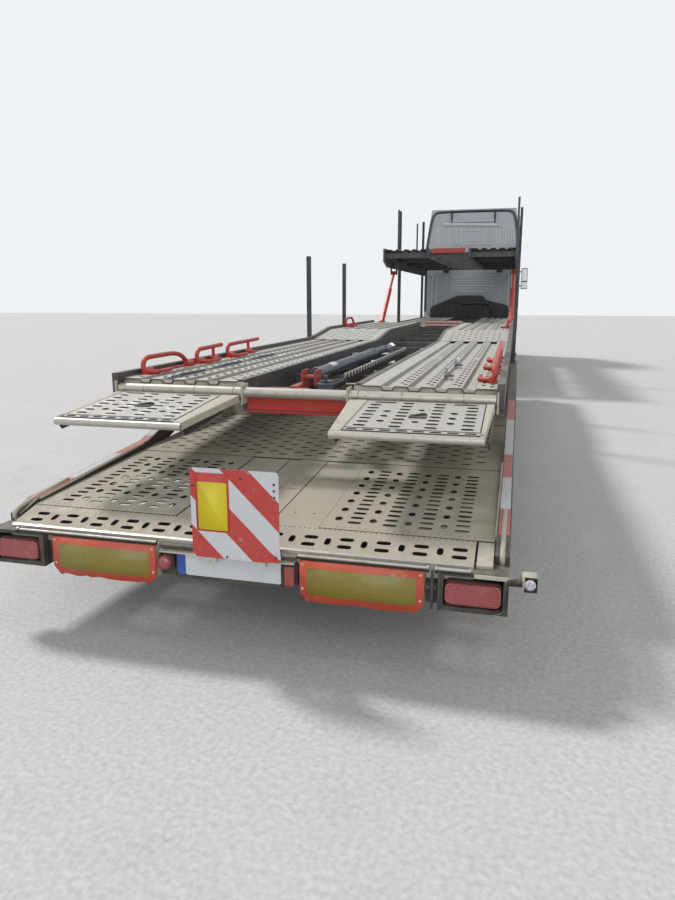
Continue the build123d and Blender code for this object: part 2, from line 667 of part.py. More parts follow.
with BuildPart() as cab_side:
    slab(CAB_LINE, CAB_HALF - CAB_WALL, CAB_HALF)
    skirt = [
        (CAB_FRONT_Y + CAB_WALL, CAB_FLOOR),
        (CAB_FRONT_Y + CAB_WALL, BUMPER_TOP + 5),
        (FRONT_Y + BUMPER_DEPTH + 5, BUMPER_TOP + 5),
        (FRONT_Y + BUMPER_DEPTH + 5, 380),
        (FRONT_AXLE_Y - 640, 380),
        (FRONT_AXLE_Y - 560, CAB_FLOOR),
    ]
    slab(skirt, CAB_HALF - CAB_WALL, CAB_HALF)
    with BuildSketch(side_view(CAB_HALF - CAB_WALL - 5)):
        with Locations((FRONT_AXLE_Y, WHEEL_R)):
            Circle(ARCH_R)
    extrude(amount=CAB_WALL + 10, mode=Mode.SUBTRACT)
    with BuildSketch(side_view(CAB_HALF - CAB_WALL - 5)):
        with BuildLine():
            Polyline(*DOOR_LINE, close=True)
        make_face()
        offset(amount=MOVE_GAP, kind=Kind.INTERSECTION)
    extrude(amount=CAB_WALL + 10, mode=Mode.SUBTRACT)
save_pair(cab_side.part, "cab_side")

with BuildPart() as door:
    slab(DOOR_LINE, CAB_HALF - CAB_WALL, CAB_HALF)
    slab(WINDOW_LINE, CAB_HALF - CAB_WALL - 5, CAB_HALF + 5, mode=Mode.SUBTRACT)
save_pair(door.part, "door")

with BuildPart() as door_glass:
    slab(WINDOW_LINE, CAB_HALF - CAB_WALL / 2, CAB_HALF - CAB_WALL / 2 + GLASS)
save_pair(door_glass.part, "door_glass")

with BuildPart() as cab_rear:
    with BuildSketch(rear_view(CAB_REAR_Y)):
        with Locations((0, (CAB_FLOOR + CAB_EAVES) / 2)):
            Rectangle(2 * INSIDE, CAB_EAVES - CAB_FLOOR)
    extrude(amount=CAB_WALL)
    for x in (-900, -600, -300, 300, 600, 900):
        block((x - 40, x + 40), (CAB_REAR_Y, CAB_REAR_Y + 18), (2300, CAB_EAVES - 60))
save(cab_rear.part, "cab_rear_wall")

rake_y = CAB_FRONT_Y + SCREEN_RAKE * (SCREEN_HEAD - SCREEN_FOOT) / (CAB_EAVES - SCREEN_FOOT)
with BuildPart() as cab_front:
    nose = [
        (CAB_FRONT_Y, CAB_FLOOR - 300),
        (CAB_FRONT_Y + CAB_WALL, CAB_FLOOR - 300),
        (CAB_FRONT_Y + CAB_WALL, SCREEN_FOOT),
        (CAB_FRONT_Y, SCREEN_FOOT),
    ]
    slab(nose, -INSIDE, INSIDE)
    header = [
        (rake_y, SCREEN_HEAD),
        (CAB_FRONT_Y + SCREEN_RAKE, CAB_EAVES),
        (CAB_FRONT_Y + SCREEN_RAKE + CAB_WALL, CAB_EAVES),
        (rake_y + CAB_WALL, SCREEN_HEAD),
    ]
    slab(header, -INSIDE, INSIDE)
    for side in (1, -1):
        pillar = [
            (CAB_FRONT_Y, SCREEN_FOOT),
            (CAB_FRONT_Y + CAB_WALL, SCREEN_FOOT),
            (rake_y + CAB_WALL, SCREEN_HEAD),
            (rake_y, SCREEN_HEAD),
        ]
        slab(pillar, side * (INSIDE - 70), side * INSIDE)
    block((-700, 700), (CAB_FRONT_Y - 5, CAB_FRONT_Y + CAB_WALL + 5), (1000, 1700), mode=Mode.SUBTRACT)
    for z in range(1040, 1700, 110):
        block((-700, 700), (CAB_FRONT_Y + 12, CAB_FRONT_Y + 40), (z - 18, z + 18))
save(cab_front.part, "cab_front")

with BuildPart() as windscreen:
    pane = [
        (CAB_FRONT_Y + 20, SCREEN_FOOT),
        (CAB_FRONT_Y + 20 + GLASS, SCREEN_FOOT),
        (rake_y + 20 + GLASS, SCREEN_HEAD),
        (rake_y + 20, SCREEN_HEAD),
    ]
    slab(pane, -(INSIDE - 70), INSIDE - 70)
save(windscreen.part, "windscreen")

# High roof: a hollow cap over the eaves, with a raked front and slightly leaning sides and back
ROOF_SKIN = 45
ROOF_RAKE = 900
ROOF_LEAN = (150, 60)
ROOF_CORNER = 120
ROOF_FRONT_Y = CAB_FRONT_Y + SCREEN_RAKE


def roof_block(inset):
    """The roof's outline inside its skin by inset: a chamfered block with its front, sides and back cut to slopes."""
    half = CAB_HALF - inset
    front = ROOF_FRONT_Y + inset
    rear = CAB_REAR_Y - inset
    top = CAB_TOP - inset
    lean, back = ROOF_LEAN
    with BuildPart() as made:
        with BuildSketch(Plane.XY.offset(CAB_EAVES)) as outline:
            with Locations((0, (front + rear) / 2)):
                Rectangle(2 * half, rear - front)
            chamfer(vertices(), ROOF_CORNER - inset)
        extrude(outline.sketch, amount=top - CAB_EAVES)
        slope = [(front, CAB_EAVES), (front + ROOF_RAKE, top + 1), (front, top + 1)]
        slab(slope, -half - 1, half + 1, mode=Mode.SUBTRACT)
        tail = [(rear, CAB_EAVES), (rear, top + 1), (rear - back, top + 1)]
        slab(tail, -half - 1, half + 1, mode=Mode.SUBTRACT)
        for side in (1, -1):
            cheek = [(side * half, CAB_EAVES), (side * half, top + 1), (side * (half - lean), top + 1)]
            run(cheek, rear + 1, rear - front + 2, mode=Mode.SUBTRACT)
    return made.part


# The back of the roof has two pressed ribs that frame its middle panel, and a rain bar over them
RIB_X = 430
RIB_W = 45
RIB_PROUD = 18
BAR_Z = (CAB_TOP - 330, CAB_TOP - 260)


def roof_back(z):
    """The Y of the roof's leaning back face at a height."""
    return CAB_REAR_Y - ROOF_LEAN[1] * (z - CAB_EAVES) / (CAB_TOP - CAB_EAVES)


with BuildPart() as cab_roof:
    add(roof_block(0))
    add(roof_block(ROOF_SKIN), mode=Mode.SUBTRACT)
    for side in (1, -1):
        rib = [(roof_back(z), z) for z in (CAB_EAVES, BAR_Z[0])]
        rib += [(y + RIB_PROUD, z) for y, z in reversed(rib)]
        slab(rib, side * RIB_X, side * (RIB_X + RIB_W))
    bar = [(roof_back(z), z) for z in BAR_Z]
    bar += [(y + 2 * RIB_PROUD, z) for y, z in reversed(bar)]
    slab(bar, -RIB_X - 4 * RIB_W, RIB_X + 4 * RIB_W)
save(cab_roof.part, "cab_roof")

# What shows through the glass: two seats, the bunk and the dashboard with its wheel
with BuildPart() as interior:
    for x in (620, -620):
        block((x - 250, x + 250), (CAB_FRONT_Y + 900, CAB_FRONT_Y + 1400), (CAB_FLOOR + 60, CAB_FLOOR + 520))
        block((x - 240, x + 240), (CAB_FRONT_Y + 1300, CAB_FRONT_Y + 1430), (CAB_FLOOR + 500, CAB_FLOOR + 1280))
    block((-INSIDE + 20, INSIDE - 20), (CAB_REAR_Y - CAB_WALL - 560, CAB_REAR_Y - CAB_WALL), (CAB_FLOOR + 60, 1850))
    dash = [
        (CAB_FRONT_Y + CAB_WALL, CAB_FLOOR + 500),
        (CAB_FRONT_Y + 420, CAB_FLOOR + 520),
        (CAB_FRONT_Y + 400, SCREEN_FOOT - 60),
        (CAB_FRONT_Y + CAB_WALL, SCREEN_FOOT - 20),
    ]
    slab(dash, -INSIDE + 20, INSIDE - 20)
save(interior.part, "cab_interior")

# Front bumper: the skin with its lamp pockets, and a towing socket in a window at each side
TOW_BORE = 42
TOW_X = 420
TOW_Z = 700
TOW_HALF = 45
WINDOW = TOW_HALF + MOVE_GAP
BUMPER_LOW = 270
BUMPER_SKIN = 110
LAMP_Z = (560, 740)
LAMP_PLAN = [
    (CAB_HALF - 10, FRONT_Y + 200),
    (CAB_HALF - 225, FRONT_Y + 80),
    (CAB_HALF - 420, FRONT_Y + 80),
    (CAB_HALF - 420, FRONT_Y),
    (CAB_HALF - 220, FRONT_Y),
    (CAB_HALF - 10, FRONT_Y + 124.1),
]
with BuildPart() as bumper:
    plan(
        [
            (-CAB_HALF, FRONT_Y + BUMPER_DEPTH),
            (-CAB_HALF, FRONT_Y + 130),
            (-CAB_HALF + 220, FRONT_Y),
            (CAB_HALF - 220, FRONT_Y),
            (CAB_HALF, FRONT_Y + 130),
            (CAB_HALF, FRONT_Y + BUMPER_DEPTH),
        ],
        BUMPER_LOW,
        BUMPER_TOP,
    )
    inside = (FRONT_Y + BUMPER_SKIN, FRONT_Y + BUMPER_DEPTH + 5)
    block((-INSIDE, INSIDE), inside, (BUMPER_LOW - 5, BUMPER_TOP - 30), mode=Mode.SUBTRACT)
    gap = RAIL_X + 20
    block((-gap, gap), (RAIL_FRONT_Y - 5, inside[1]), (BUMPER_LOW - 5, BUMPER_TOP + 5), mode=Mode.SUBTRACT)
    for side in (1, -1):
        plan([(side * x, y) for x, y in LAMP_PLAN], *LAMP_Z, mode=Mode.SUBTRACT)
        x = (side * (TOW_X - WINDOW), side * (TOW_X + WINDOW))
        skin = (FRONT_Y - 5, FRONT_Y + BUMPER_SKIN + 5)
        block(x, skin, (TOW_Z - WINDOW, TOW_Z + WINDOW), mode=Mode.SUBTRACT)

# The skin is made in lengths, with seams at the sides of the two windows
SEAMS = (-CAB_HALF, -TOW_X - WINDOW, -TOW_X + WINDOW, TOW_X - WINDOW, TOW_X + WINDOW, CAB_HALF)
bumper_lengths = []
for seam, next_seam in zip(SEAMS, SEAMS[1:]):
    with BuildPart() as length:
        add(bumper.part)
        deep = (FRONT_Y - 5, FRONT_Y + BUMPER_DEPTH + 5)
        block((seam, next_seam), deep, (BUMPER_LOW - 5, BUMPER_TOP + 5), mode=Mode.INTERSECT)
    bumper_lengths.append(length)
save_members("front_bumper", *bumper_lengths)

with BuildPart() as tow_sockets:
    for side in (1, -1):
        x = (side * (TOW_X - TOW_HALF), side * (TOW_X + TOW_HALF))
        block(x, (FRONT_Y + 5, RAIL_FRONT_Y), (TOW_Z - TOW_HALF, TOW_Z + TOW_HALF))
        with BuildSketch(rear_view(FRONT_Y + 125)):
            with Locations((side * TOW_X, TOW_Z)):
                Circle(TOW_BORE / 2)
        extrude(amount=120, mode=Mode.SUBTRACT)
save(tow_sockets.part, "tow_sockets")

# Lamps of the truck: headlamps in the bumper's corners and a tail lamp bar under the bed
with BuildPart() as truck_lamps:
    for side in (1, -1):
        plan([(side * x, y) for x, y in LAMP_PLAN], *LAMP_Z)
        block((side * 760, side * 1160), (ahead(BED_REAR_AHEAD + 70), ahead(BED_REAR_AHEAD + 20)), (880, BED_CROSS_LOW))
save(truck_lamps.part, "truck_lamps")

# Mirrors on arms at the front corners of the cab
with BuildPart() as mirrors:
    for side in (1, -1):
        block(
            (side * (CAB_HALF + 70), side * (CAB_HALF + 250)),
            (CAB_FRONT_Y + 40, CAB_FRONT_Y + 160),
            (SCREEN_FOOT - 30, SCREEN_FOOT + 560),
        )
        for z in (SCREEN_FOOT + 60, SCREEN_FOOT + 460):
            arm_y = CAB_FRONT_Y + 130
            rod((side * CAB_HALF, arm_y, z), (side * (CAB_HALF + 90), arm_y, z), 16)
save(mirrors.part, "mirrors")

# Air intake low behind the cab, on a foot across the rails
with BuildPart() as intake:
    y = (CAB_REAR_Y + 40, ahead(BED_FRONT_AHEAD) - 20)
    block((-RAIL_X, RAIL_X), y, (RAIL_TOP, RAIL_TOP + 40))
    block((-330, 330), y, (RAIL_TOP + 40, 2000))
save(intake.part, "air_intake")

# Trailer lower deck seen from the side: ahead and height of its surface
WELL = (T_AXLES_AHEAD[0] - T_WHEEL_R - 70, T_AXLES_AHEAD[1] + T_WHEEL_R + 70)
LOWER_LINE = (
    (60, 530),
    (250, 575),
    (1360, 633),
    (WELL[0] - 120, 690),
    (WELL[1] + 120, 690),
    (WELL[1] + 986, 560),
    (TRAILER_L - 60, 560),
)


def height_at(line, d):
    """Height at d ahead of a line whose rows start with ahead and height."""
    for (d0, z0), (d1, z1) in zip([row[:2] for row in line], [row[:2] for row in line[1:]]):
        if d <= d1:
            return z0 + (z1 - z0) * (d - d0) / (d1 - d0)
    return line[-1][1]


def plate(d0, z0, d1, z1, thick, x0, x1):
    """One straight plate of the deck from (d0, z0) to (d1, z1), as thick below its surface."""
    slab([(ahead(d0), z0), (ahead(d1), z1), (ahead(d1), z1 - thick), (ahead(d0), z0 - thick)], x0, x1)


# Plates from bend to bend; between the wheel wells the deck is narrow and an arched cover stands over each well
deck_plates = []
for (d0, z0), (d1, z1) in zip(LOWER_LINE, LOWER_LINE[1:]):
    half = WELL_IN if d0 == LOWER_LINE[3][0] else LOWER_HALF
    with BuildPart() as deck_plate:
        plate(d0, z0, d1, z1, LOWER_SHEET, -half, half)
    deck_plates.append(deck_plate)

COVER = (
    (LOWER_LINE[3][0], LOWER_LINE[3][1], WELL[0] + 20, WELL_TOP),
    (WELL[0] + 20, WELL_TOP, WELL[1] - 20, WELL_TOP),
    (WELL[1] - 20, WELL_TOP, LOWER_LINE[4][0], LOWER_LINE[4][1]),
)
for d0, z0, d1, z1 in COVER:
    with BuildPart() as well_cover:
        for side in (1, -1):
            plate(d0, z0, d1, z1, LOWER_SHEET, side * WELL_IN, side * LOWER_HALF)
    deck_plates.append(well_cover)

with BuildPart() as well_cheeks:
    for side in (1, -1):
        cheek = [(ahead(COVER[0][0]), COVER[0][1]), (ahead(COVER[1][0]), WELL_TOP)]
        cheek += [(ahead(COVER[1][2]), WELL_TOP), (ahead(COVER[2][2]), COVER[2][3])]
        slab(cheek, side * (WELL_IN - 10), side * WELL_IN)
deck_plates.append(well_cheeks)
save_members("lower_deck", *deck_plates)

# Trailer frame: the drawbar with its eye, two main beams in straight lengths and cross-members between them
BEAM_X = (380, 480)
BEAM_UNDER = (410, 430, 470, 520, 520, 400, 400)
TRAILER_CROSS = (TRAILER_L - 120, TRAILER_L - 1680, 6050, 5300, 2300, 1360, 300)
with BuildPart() as drawbar:
    arms = [
        (-85, PIVOT_Y + 210),
        (85, PIVOT_Y + 210),
        (300, ahead(TRAILER_CROSS[0] + 35)),
        (-300, ahead(TRAILER_CROSS[0] + 35)),
    ]
    plan(arms, 385, 525)
    eye_z = (PIVOT_Z - EYE_T / 2, PIVOT_Z + EYE_T / 2)
    plan([(-60, PIVOT_Y), (60, PIVOT_Y), (75, PIVOT_Y + 230), (-75, PIVOT_Y + 230)], *eye_z)
    rod((0, PIVOT_Y, eye_z[0]), (0, PIVOT_Y, eye_z[1]), 85)
    rod((0, PIVOT_Y, 300), (0, PIVOT_Y, 700), PIN_R + PIN_GAP, mode=Mode.SUBTRACT)

trailer_members = [drawbar]
stations = list(zip(LOWER_LINE, BEAM_UNDER))[1:]
for ((d0, z0), low0), ((d1, z1), low1) in zip(stations, stations[1:]):
    with BuildPart() as beam_length:
        for side in (1, -1):
            outline = [
                (ahead(d0), z0 - LOWER_SHEET),
                (ahead(d1), z1 - LOWER_SHEET),
                (ahead(d1), low1),
                (ahead(d0), low0),
            ]
            slab(outline, side * BEAM_X[0], side * BEAM_X[1])
    trailer_members.append(beam_length)

with BuildPart() as outriggers:
    for d in TRAILER_CROSS:
        z = min(height_at(LOWER_LINE, d - 35), height_at(LOWER_LINE, d + 35)) - LOWER_SHEET
        for x in ((-LOWER_HALF, -BEAM_X[1]), (-BEAM_X[0], BEAM_X[0]), (BEAM_X[1], LOWER_HALF)):
            block(x, (ahead(d) - 35, ahead(d) + 35), (z - 94, z))
trailer_members.append(outriggers)
save_members("trailer_frame", *trailer_members)

# Side rails of the trailer in straight lengths, arched over the wheels, with the four slim lift posts on them
# ahead, top, bottom
SIDE_RAIL = (
    (150, 552, 440),
    (290, 597, 452),
    (1470, 680, 560),
    (WELL[0] - 341, 930, 830),
    (WELL[1] + 550, 930, 830),
    (WELL[1] + 936, 760, 440),
    (TRAILER_L, 760, 440),
)
POSTS_AHEAD = (WELL[1] + 506, TRAILER_L - 1920)
POST_TOP = 2150
POST_SIZE = (40, 70)
rail_members = []
for (d0, up0, low0), (d1, up1, low1) in zip(SIDE_RAIL, SIDE_RAIL[1:]):
    with BuildPart() as rail_length:
        for side in (1, -1):
            outline = [(ahead(d0), up0), (ahead(d1), up1), (ahead(d1), low1), (ahead(d0), low0)]
            slab(outline, side * LOWER_HALF, side * HALF_W)
    rail_members.append(rail_length)

with BuildPart() as posts:
    for side in (1, -1):
        for d in POSTS_AHEAD:
            x = (side * (DECK_EDGE + MOVE_GAP), side * (DECK_EDGE + MOVE_GAP + POST_SIZE[0]))
            y = (ahead(d) - POST_SIZE[1] / 2, ahead(d) + POST_SIZE[1] / 2)
            block(x, y, (height_at(SIDE_RAIL, d), POST_TOP))
rail_members.append(posts)
save_members("side_rails", *rail_members)

# Trailer axles on their air springs
with BuildPart() as trailer_axles:
    for d in T_AXLES_AHEAD:
        reach = T_MIDDLE + HUB_REACH
        rod((-660, ahead(d), T_WHEEL_R), (660, ahead(d), T_WHEEL_R), AXLE_R)
        rod((-reach, ahead(d), T_WHEEL_R), (reach, ahead(d), T_WHEEL_R), SPINDLE_R)
        for side in (1, -1):
            block((side * 390, side * 470), (ahead(d) - 50, ahead(d) + 50), (T_WHEEL_R + 20, 520))
save(trailer_axles.part, "trailer_axles")

# Trailer wheels: twins on one hub, the tyres and the wheels they sit on in one piece
T_NAMES = ("rear", "front")
with BuildPart() as trailer_tyre:
    tyre(0, T_WHEEL_R, T_WHEEL_R, T_RIM_R, T_TYRE_W)

for place, d in zip(T_NAMES, T_AXLES_AHEAD):
    with BuildPart() as twin:
        with Locations(*[(x, ahead(d), 0) for x in T_PAIR]):
            add(trailer_tyre.part)
        for x, opens in zip(T_PAIR, (1, -1)):
            rim(x, ahead(d), T_WHEEL_R, T_RIM_R, T_TYRE_W, opens)
        twin_hub(ahead(d), T_WHEEL_R, T_MIDDLE, T_DRUM_R)
    save_pair(twin.part, f"trailer_wheels_{place}")

# Rear bumper: a beam with lamp boxes at the ends and a shelf over the number plate
LAMP_IN = 980
with BuildPart() as rear_bumper:
    block((-LAMP_IN, LAMP_IN), (ahead(140), ahead(60)), (345, 500))
    for side in (1, -1):
        block((side * LAMP_IN, side * HALF_W), (ahead(140), ahead(10)), (338, 516))
        block((side * (LAMP_IN + 22), side * (HALF_W - 22)), (ahead(120), ahead(-5)), (358, 498), mode=Mode.SUBTRACT)
        block((side * 480, side * BEAM_X[0]), (ahead(250), ahead(140)), (430, 500))
    block((-340, 340), (ahead(120), ahead(15)), (498, 512))
save(rear_bumper.part, "rear_bumper")

with BuildPart() as rear_lamps:
    for side in (1, -1):
        with BuildSketch(rear_view(ahead(0))):
            with Locations((side * (LAMP_IN + HALF_W) / 2, 420)):
                Rectangle(236, 98)
            chamfer(vertices(), 20)
        extrude(amount=120)
        rod((side * HALF_W, ahead(100), 455), (side * (HALF_W + 60), ahead(100), 455), 16)
        block((side * (HALF_W + 50), side * (HALF_W + 125)), (ahead(125), ahead(75)), (435, 500))
save(rear_lamps.part, "rear_lamps")

# Reflective plates, their lower corners cut off, and the bare number plate between them
with BuildPart() as rear_plates:
    for side in (1, -1):
        outline = [(358, 507), (923, 507), (923, 350), (885, 307), (396, 307), (358, 350)]
        run([(side * x, z) for x, z in outline], ahead(0), 60)
    block((-260, 260), (ahead(60), ahead(40)), (360, 472))
save(rear_plates.part, "rear_plates")

# Striped warning board in front of the deck's rear edge
BOARD_SIDE = 420
BOARD_X = -75
BOARD_MID = 706
with BuildPart() as board:
    with BuildSketch(rear_view(LENGTH / 2)):
        with Locations((BOARD_X, BOARD_MID)):
            Rectangle(BOARD_SIDE, BOARD_SIDE)
        chamfer(vertices(), 10)
    extrude(amount=4)
    block((BOARD_X - 60, BOARD_X + 60), (ahead(52), LENGTH / 2 - 4), (512, 524))
    block((BOARD_X - 60, BOARD_X + 60), (LENGTH / 2 - 16, LENGTH / 2 - 4), (512, 640))
save(board.part, "warning_board")

# Trailer upper deck: outer rails and inner channels in three lengths each, cross-members and the red rear beam
# ahead and height of the tracks
DECK_LINE = (
    (TUBE_AHEAD + 70, DECK_TOP),
    (STEP_AHEAD, DECK_TOP),
    (BRIDGE_END, DECK_TOP + DECK_STEP),
    (DECK_FRONT_AHEAD, DECK_TOP + DECK_STEP),
)
DECK_CROSS = spread(TUBE_AHEAD + 113, DECK_FRONT_AHEAD - 40, 9)
CURB = 35
deck_members = []
for (d0, z0), (d1, z1) in zip(DECK_LINE, DECK_LINE[1:]):
    with BuildPart() as deck_length:
        for side in (1, -1):
            for rise, x in ((CURB, (TRACK_OUT, DECK_EDGE)), (5, (TRACK_IN, TRACK_IN + CHANNEL_W))):
                outline = [
                    (ahead(d0), z0 + rise),
                    (ahead(d1), z1 + rise),
                    (ahead(d1), DECK_LOW),
                    (ahead(d0), DECK_LOW),
                ]
                slab(outline, side * x[0], side * x[1])
    deck_members.append(deck_length)

with BuildPart() as deck_tails:
    for side in (1, -1):
        tail = [
            (ahead(TUBE_AHEAD - 20), DECK_TOP + CURB),
            (ahead(TUBE_AHEAD - 20), DECK_LOW + 20),
            (ahead(TUBE_AHEAD + 60), DECK_LOW),
            (ahead(TUBE_AHEAD + 70), DECK_LOW),
            (ahead(TUBE_AHEAD + 70), DECK_TOP + CURB),
        ]
        slab(tail, side * TRACK_OUT, side * DECK_EDGE)
    block((-TRACK_IN, TRACK_IN), (ahead(TUBE_AHEAD + 83), ahead(TUBE_AHEAD + 43)), (980, 1072))

with BuildPart() as deck_crossbars:
    cross_members(DECK_CROSS, (DECK_LOW, DECK_LOW + 60))
save_members("trailer_deck_frame", *deck_members, deck_tails, deck_crossbars)

with BuildPart() as deck_planks:
    for side in (1, -1):
        plank(side, TUBE_AHEAD + 70, STEP_AHEAD - 5, DECK_TOP)
        bridge(side, STEP_AHEAD, DECK_TOP, BRIDGE_END, DECK_TOP + DECK_STEP)
        plank(side, BRIDGE_END + 5, DECK_FRONT_AHEAD, DECK_TOP + DECK_STEP)
save(deck_planks.part, "trailer_deck_planks")

with BuildPart() as rear_tube:
    rod((-TRACK_OUT, ahead(TUBE_AHEAD), TUBE_Z), (TRACK_OUT, ahead(TUBE_AHEAD), TUBE_Z), TUBE_R)
save(rear_tube.part, "rear_tube")

# Wheel hoops on the tracks' outermost ribs; the table gives side, ahead, length and height
HOOPS = (
    (1, 1330, 640, 95),
    (1, 2130, 430, 95),
    (1, 2720, 680, 95),
    (-1, 1400, 570, 95),
    (-1, 2130, 430, 95),
    (-1, 2720, 680, 95),
    (1, 7000, 480, 110),
    (-1, 7000, 480, 110),
)
HOOP_R = 17
with BuildPart() as hoops:
    for side, d, length, height in HOOPS:
        z = DECK_TOP + (DECK_STEP if d > BRIDGE_END else 0) + HOOP_R - 2
        x = side * (TRACK_OUT - 2 * HOOP_R)
        with BuildLine() as path:
            Polyline(
                (x, ahead(d), z),
                (x, ahead(d + length * 0.1), z + height),
                (x, ahead(d + length * 0.8), z + height),
                (x, ahead(d + length), z),
            )
        with BuildSketch(path.line ^ 0) as section:
            RegularPolygon(HOOP_R, BAR_SIDES)
        sweep(section.sketch, path=path.line, transition=Transition.RIGHT)
save(hoops.part, "wheel_hoops")

# Cylinder and notched bar in the well between the tracks
with BuildPart() as deck_cylinder:
    rod((60, ahead(1700), DECK_LOW + 60 + 48), (60, ahead(3700), DECK_LOW + 60 + 48), 48)
    rod((60, ahead(3700), DECK_LOW + 60 + 48), (60, ahead(4700), DECK_LOW + 60 + 48), 28)
    teeth = []
    for d in range(1700, 3800, 190):
        teeth += [(ahead(d), DECK_LOW + 90), (ahead(d), DECK_LOW + 130), (ahead(d + 80), DECK_LOW + 130)]
        teeth += [(ahead(d + 80), DECK_LOW + 90)]
    base = [(ahead(3900), DECK_LOW + 60), (ahead(1700), DECK_LOW + 60)]
    slab(teeth + base, -170, -150)
save(deck_cylinder.part, "deck_cylinder")

# Ramp flaps on the rear tube, folded out and hanging a little
with BuildPart() as flap:
    start = TUBE_AHEAD - TUBE_R - MOVE_GAP
    tip = start - FLAP_L
    fall = tan(radians(FLAP_DROOP))
    edge = [
        (ahead(start), TUBE_Z + FLAP_T / 2),
        (ahead(start), TUBE_Z - FLAP_T / 2),
        (ahead(tip), TUBE_Z - FLAP_T / 2 - fall * FLAP_L),
        (ahead(tip), TUBE_Z + FLAP_T / 2 - fall * FLAP_L),
    ]
    slab(edge, FLAP_IN, FLAP_OUT)
    cheek = [
        (ahead(tip) - CHEEK_DEPTH, TUBE_Z - fall * (FLAP_L - CHEEK_DEPTH)),
        (ahead(start) + 2 * TUBE_R, TUBE_Z - fall * 2 * TUBE_R),
        (ahead(start) + 2 * TUBE_R, TUBE_Z - fall * 2 * TUBE_R - FLAP_T / 2 - CHEEK_DEPTH),
        (ahead(tip) - 2 * CHEEK_DEPTH, TUBE_Z - fall * FLAP_L - FLAP_T / 2 - CHEEK_DEPTH),
    ]
    for x in (FLAP_IN, FLAP_OUT - CHEEK_T):
        slab(cheek, x, x + CHEEK_T)
    for column in SLOT_COLUMNS:
        x = FLAP_IN + column * (FLAP_OUT - FLAP_IN)
        for row in range(SLOT_ROWS):
            y = ahead(tip) - SLOT_MARGIN - row * (FLAP_L - 2 * SLOT_MARGIN) / (SLOT_ROWS - 1)
            through = (TUBE_Z - FLAP_T - fall * FLAP_L, TUBE_Z + FLAP_T)
            span = (x - SLOT_L / 2, x + SLOT_L / 2)
            block(span, (y - SLOT_W / 2, y + SLOT_W / 2), through, mode=Mode.SUBTRACT)
    for x in (FLAP_IN + 60, FLAP_OUT - 120):
        slab(
            [
                (ahead(start) - 10, TUBE_Z + TUBE_R + 12),
                (ahead(start) - 10, TUBE_Z - 20),
                (ahead(start) + 60, TUBE_Z - 20),
                (ahead(start) + 60, TUBE_Z + FLAP_T / 2 - 8),
            ],
            x,
            x + 60,
        )
        rod((x, ahead(TUBE_AHEAD), TUBE_Z), (x + 60, ahead(TUBE_AHEAD), TUBE_Z), TUBE_R + 14)
    rod((0, ahead(TUBE_AHEAD), TUBE_Z), (DECK_EDGE, ahead(TUBE_AHEAD), TUBE_Z), TUBE_R + PIN_GAP, mode=Mode.SUBTRACT)
save_pair(flap.part, "ramp_flap")
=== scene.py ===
# %% [markdown]
# A car transporter, built as a lesson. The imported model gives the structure: frames, axles, decks and
# everything that moves. This script dresses it: punched decks, tubes, lamps, tyres and the finish of every
# surface. It is read from top to bottom. Each step says what the real piece is and why it is made the way it is.

# %% Load the frame and keep its box
import math

import bpy
import numpy as np
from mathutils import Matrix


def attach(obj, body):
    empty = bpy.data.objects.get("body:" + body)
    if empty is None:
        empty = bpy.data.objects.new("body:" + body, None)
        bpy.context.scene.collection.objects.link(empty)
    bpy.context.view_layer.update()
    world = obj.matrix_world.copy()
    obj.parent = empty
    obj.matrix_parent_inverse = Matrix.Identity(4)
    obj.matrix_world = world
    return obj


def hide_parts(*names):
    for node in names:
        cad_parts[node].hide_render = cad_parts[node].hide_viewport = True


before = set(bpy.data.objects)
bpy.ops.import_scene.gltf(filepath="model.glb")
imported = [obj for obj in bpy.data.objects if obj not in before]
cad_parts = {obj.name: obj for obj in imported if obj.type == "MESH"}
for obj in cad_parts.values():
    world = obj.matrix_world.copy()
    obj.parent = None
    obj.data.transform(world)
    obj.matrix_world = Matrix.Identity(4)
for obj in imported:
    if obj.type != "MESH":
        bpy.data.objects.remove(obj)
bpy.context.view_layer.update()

# %% [markdown]
# Places on a long vehicle are easiest to read as a distance ahead of the rear bumper's face. The truck points
# towards -Y, so that distance is subtracted from the bumper's Y. Lamps and plates are as proud of that face
# as the frame's own nodes say.

# %% Distances along the vehicle
BUMPER_Y = 9.330


def ahead(d):
    """The Y of a place d metres in front of the rear bumper's face."""
    return BUMPER_Y - d


# %% [markdown]
# The photograph was taken standing behind the right rear corner with a wide lens. Its focal length in pixels
# and the camera's height, yaw and pitch were solved from the number plate, the reflective plates and the deck
# edges. Blender's sensor width belongs to the long side of the picture, so the lens follows from the
# picture's height.

# %% Camera
PICTURE_H = 900
FOCAL_PX = 681.6
SENSOR_MM = 36.0
EYE = (-1.2458, ahead(-2.7373), 1.650)
YAW = math.radians(14.47)
PITCH = math.radians(12.52)
ROLL = math.radians(0.05)

camera_data = bpy.data.cameras.new("photo_camera")
camera_data.sensor_width = SENSOR_MM
camera_data.lens = SENSOR_MM * FOCAL_PX / PICTURE_H
camera_data.clip_end = 300
camera = bpy.data.objects.new("photo_camera", camera_data)
bpy.context.scene.collection.objects.link(camera)
camera.location = EYE
camera.rotation_euler = (math.pi / 2 - PITCH, ROLL, math.pi + YAW)
bpy.context.scene.camera = camera
print("lens", round(camera_data.lens, 2), "mm")

# %% [markdown]
# The light is a studio's: a broad key from the front left, as the sun stands in the photograph, a wide fill
# from behind the camera, and an even pale surround. Together they reach about one on a level surface, so a
# colour renders about as it is written. What the camera sees behind the floor is set apart by the camera ray.

# %% Studio light and surround
KEY_TO, KEY_STRENGTH, KEY_WIDTH = (-0.62, 0.30, -0.74), 2.1, 9
FILL_TO, FILL_STRENGTH, FILL_WIDTH = (0.25, -0.85, -0.45), 0.75, 50


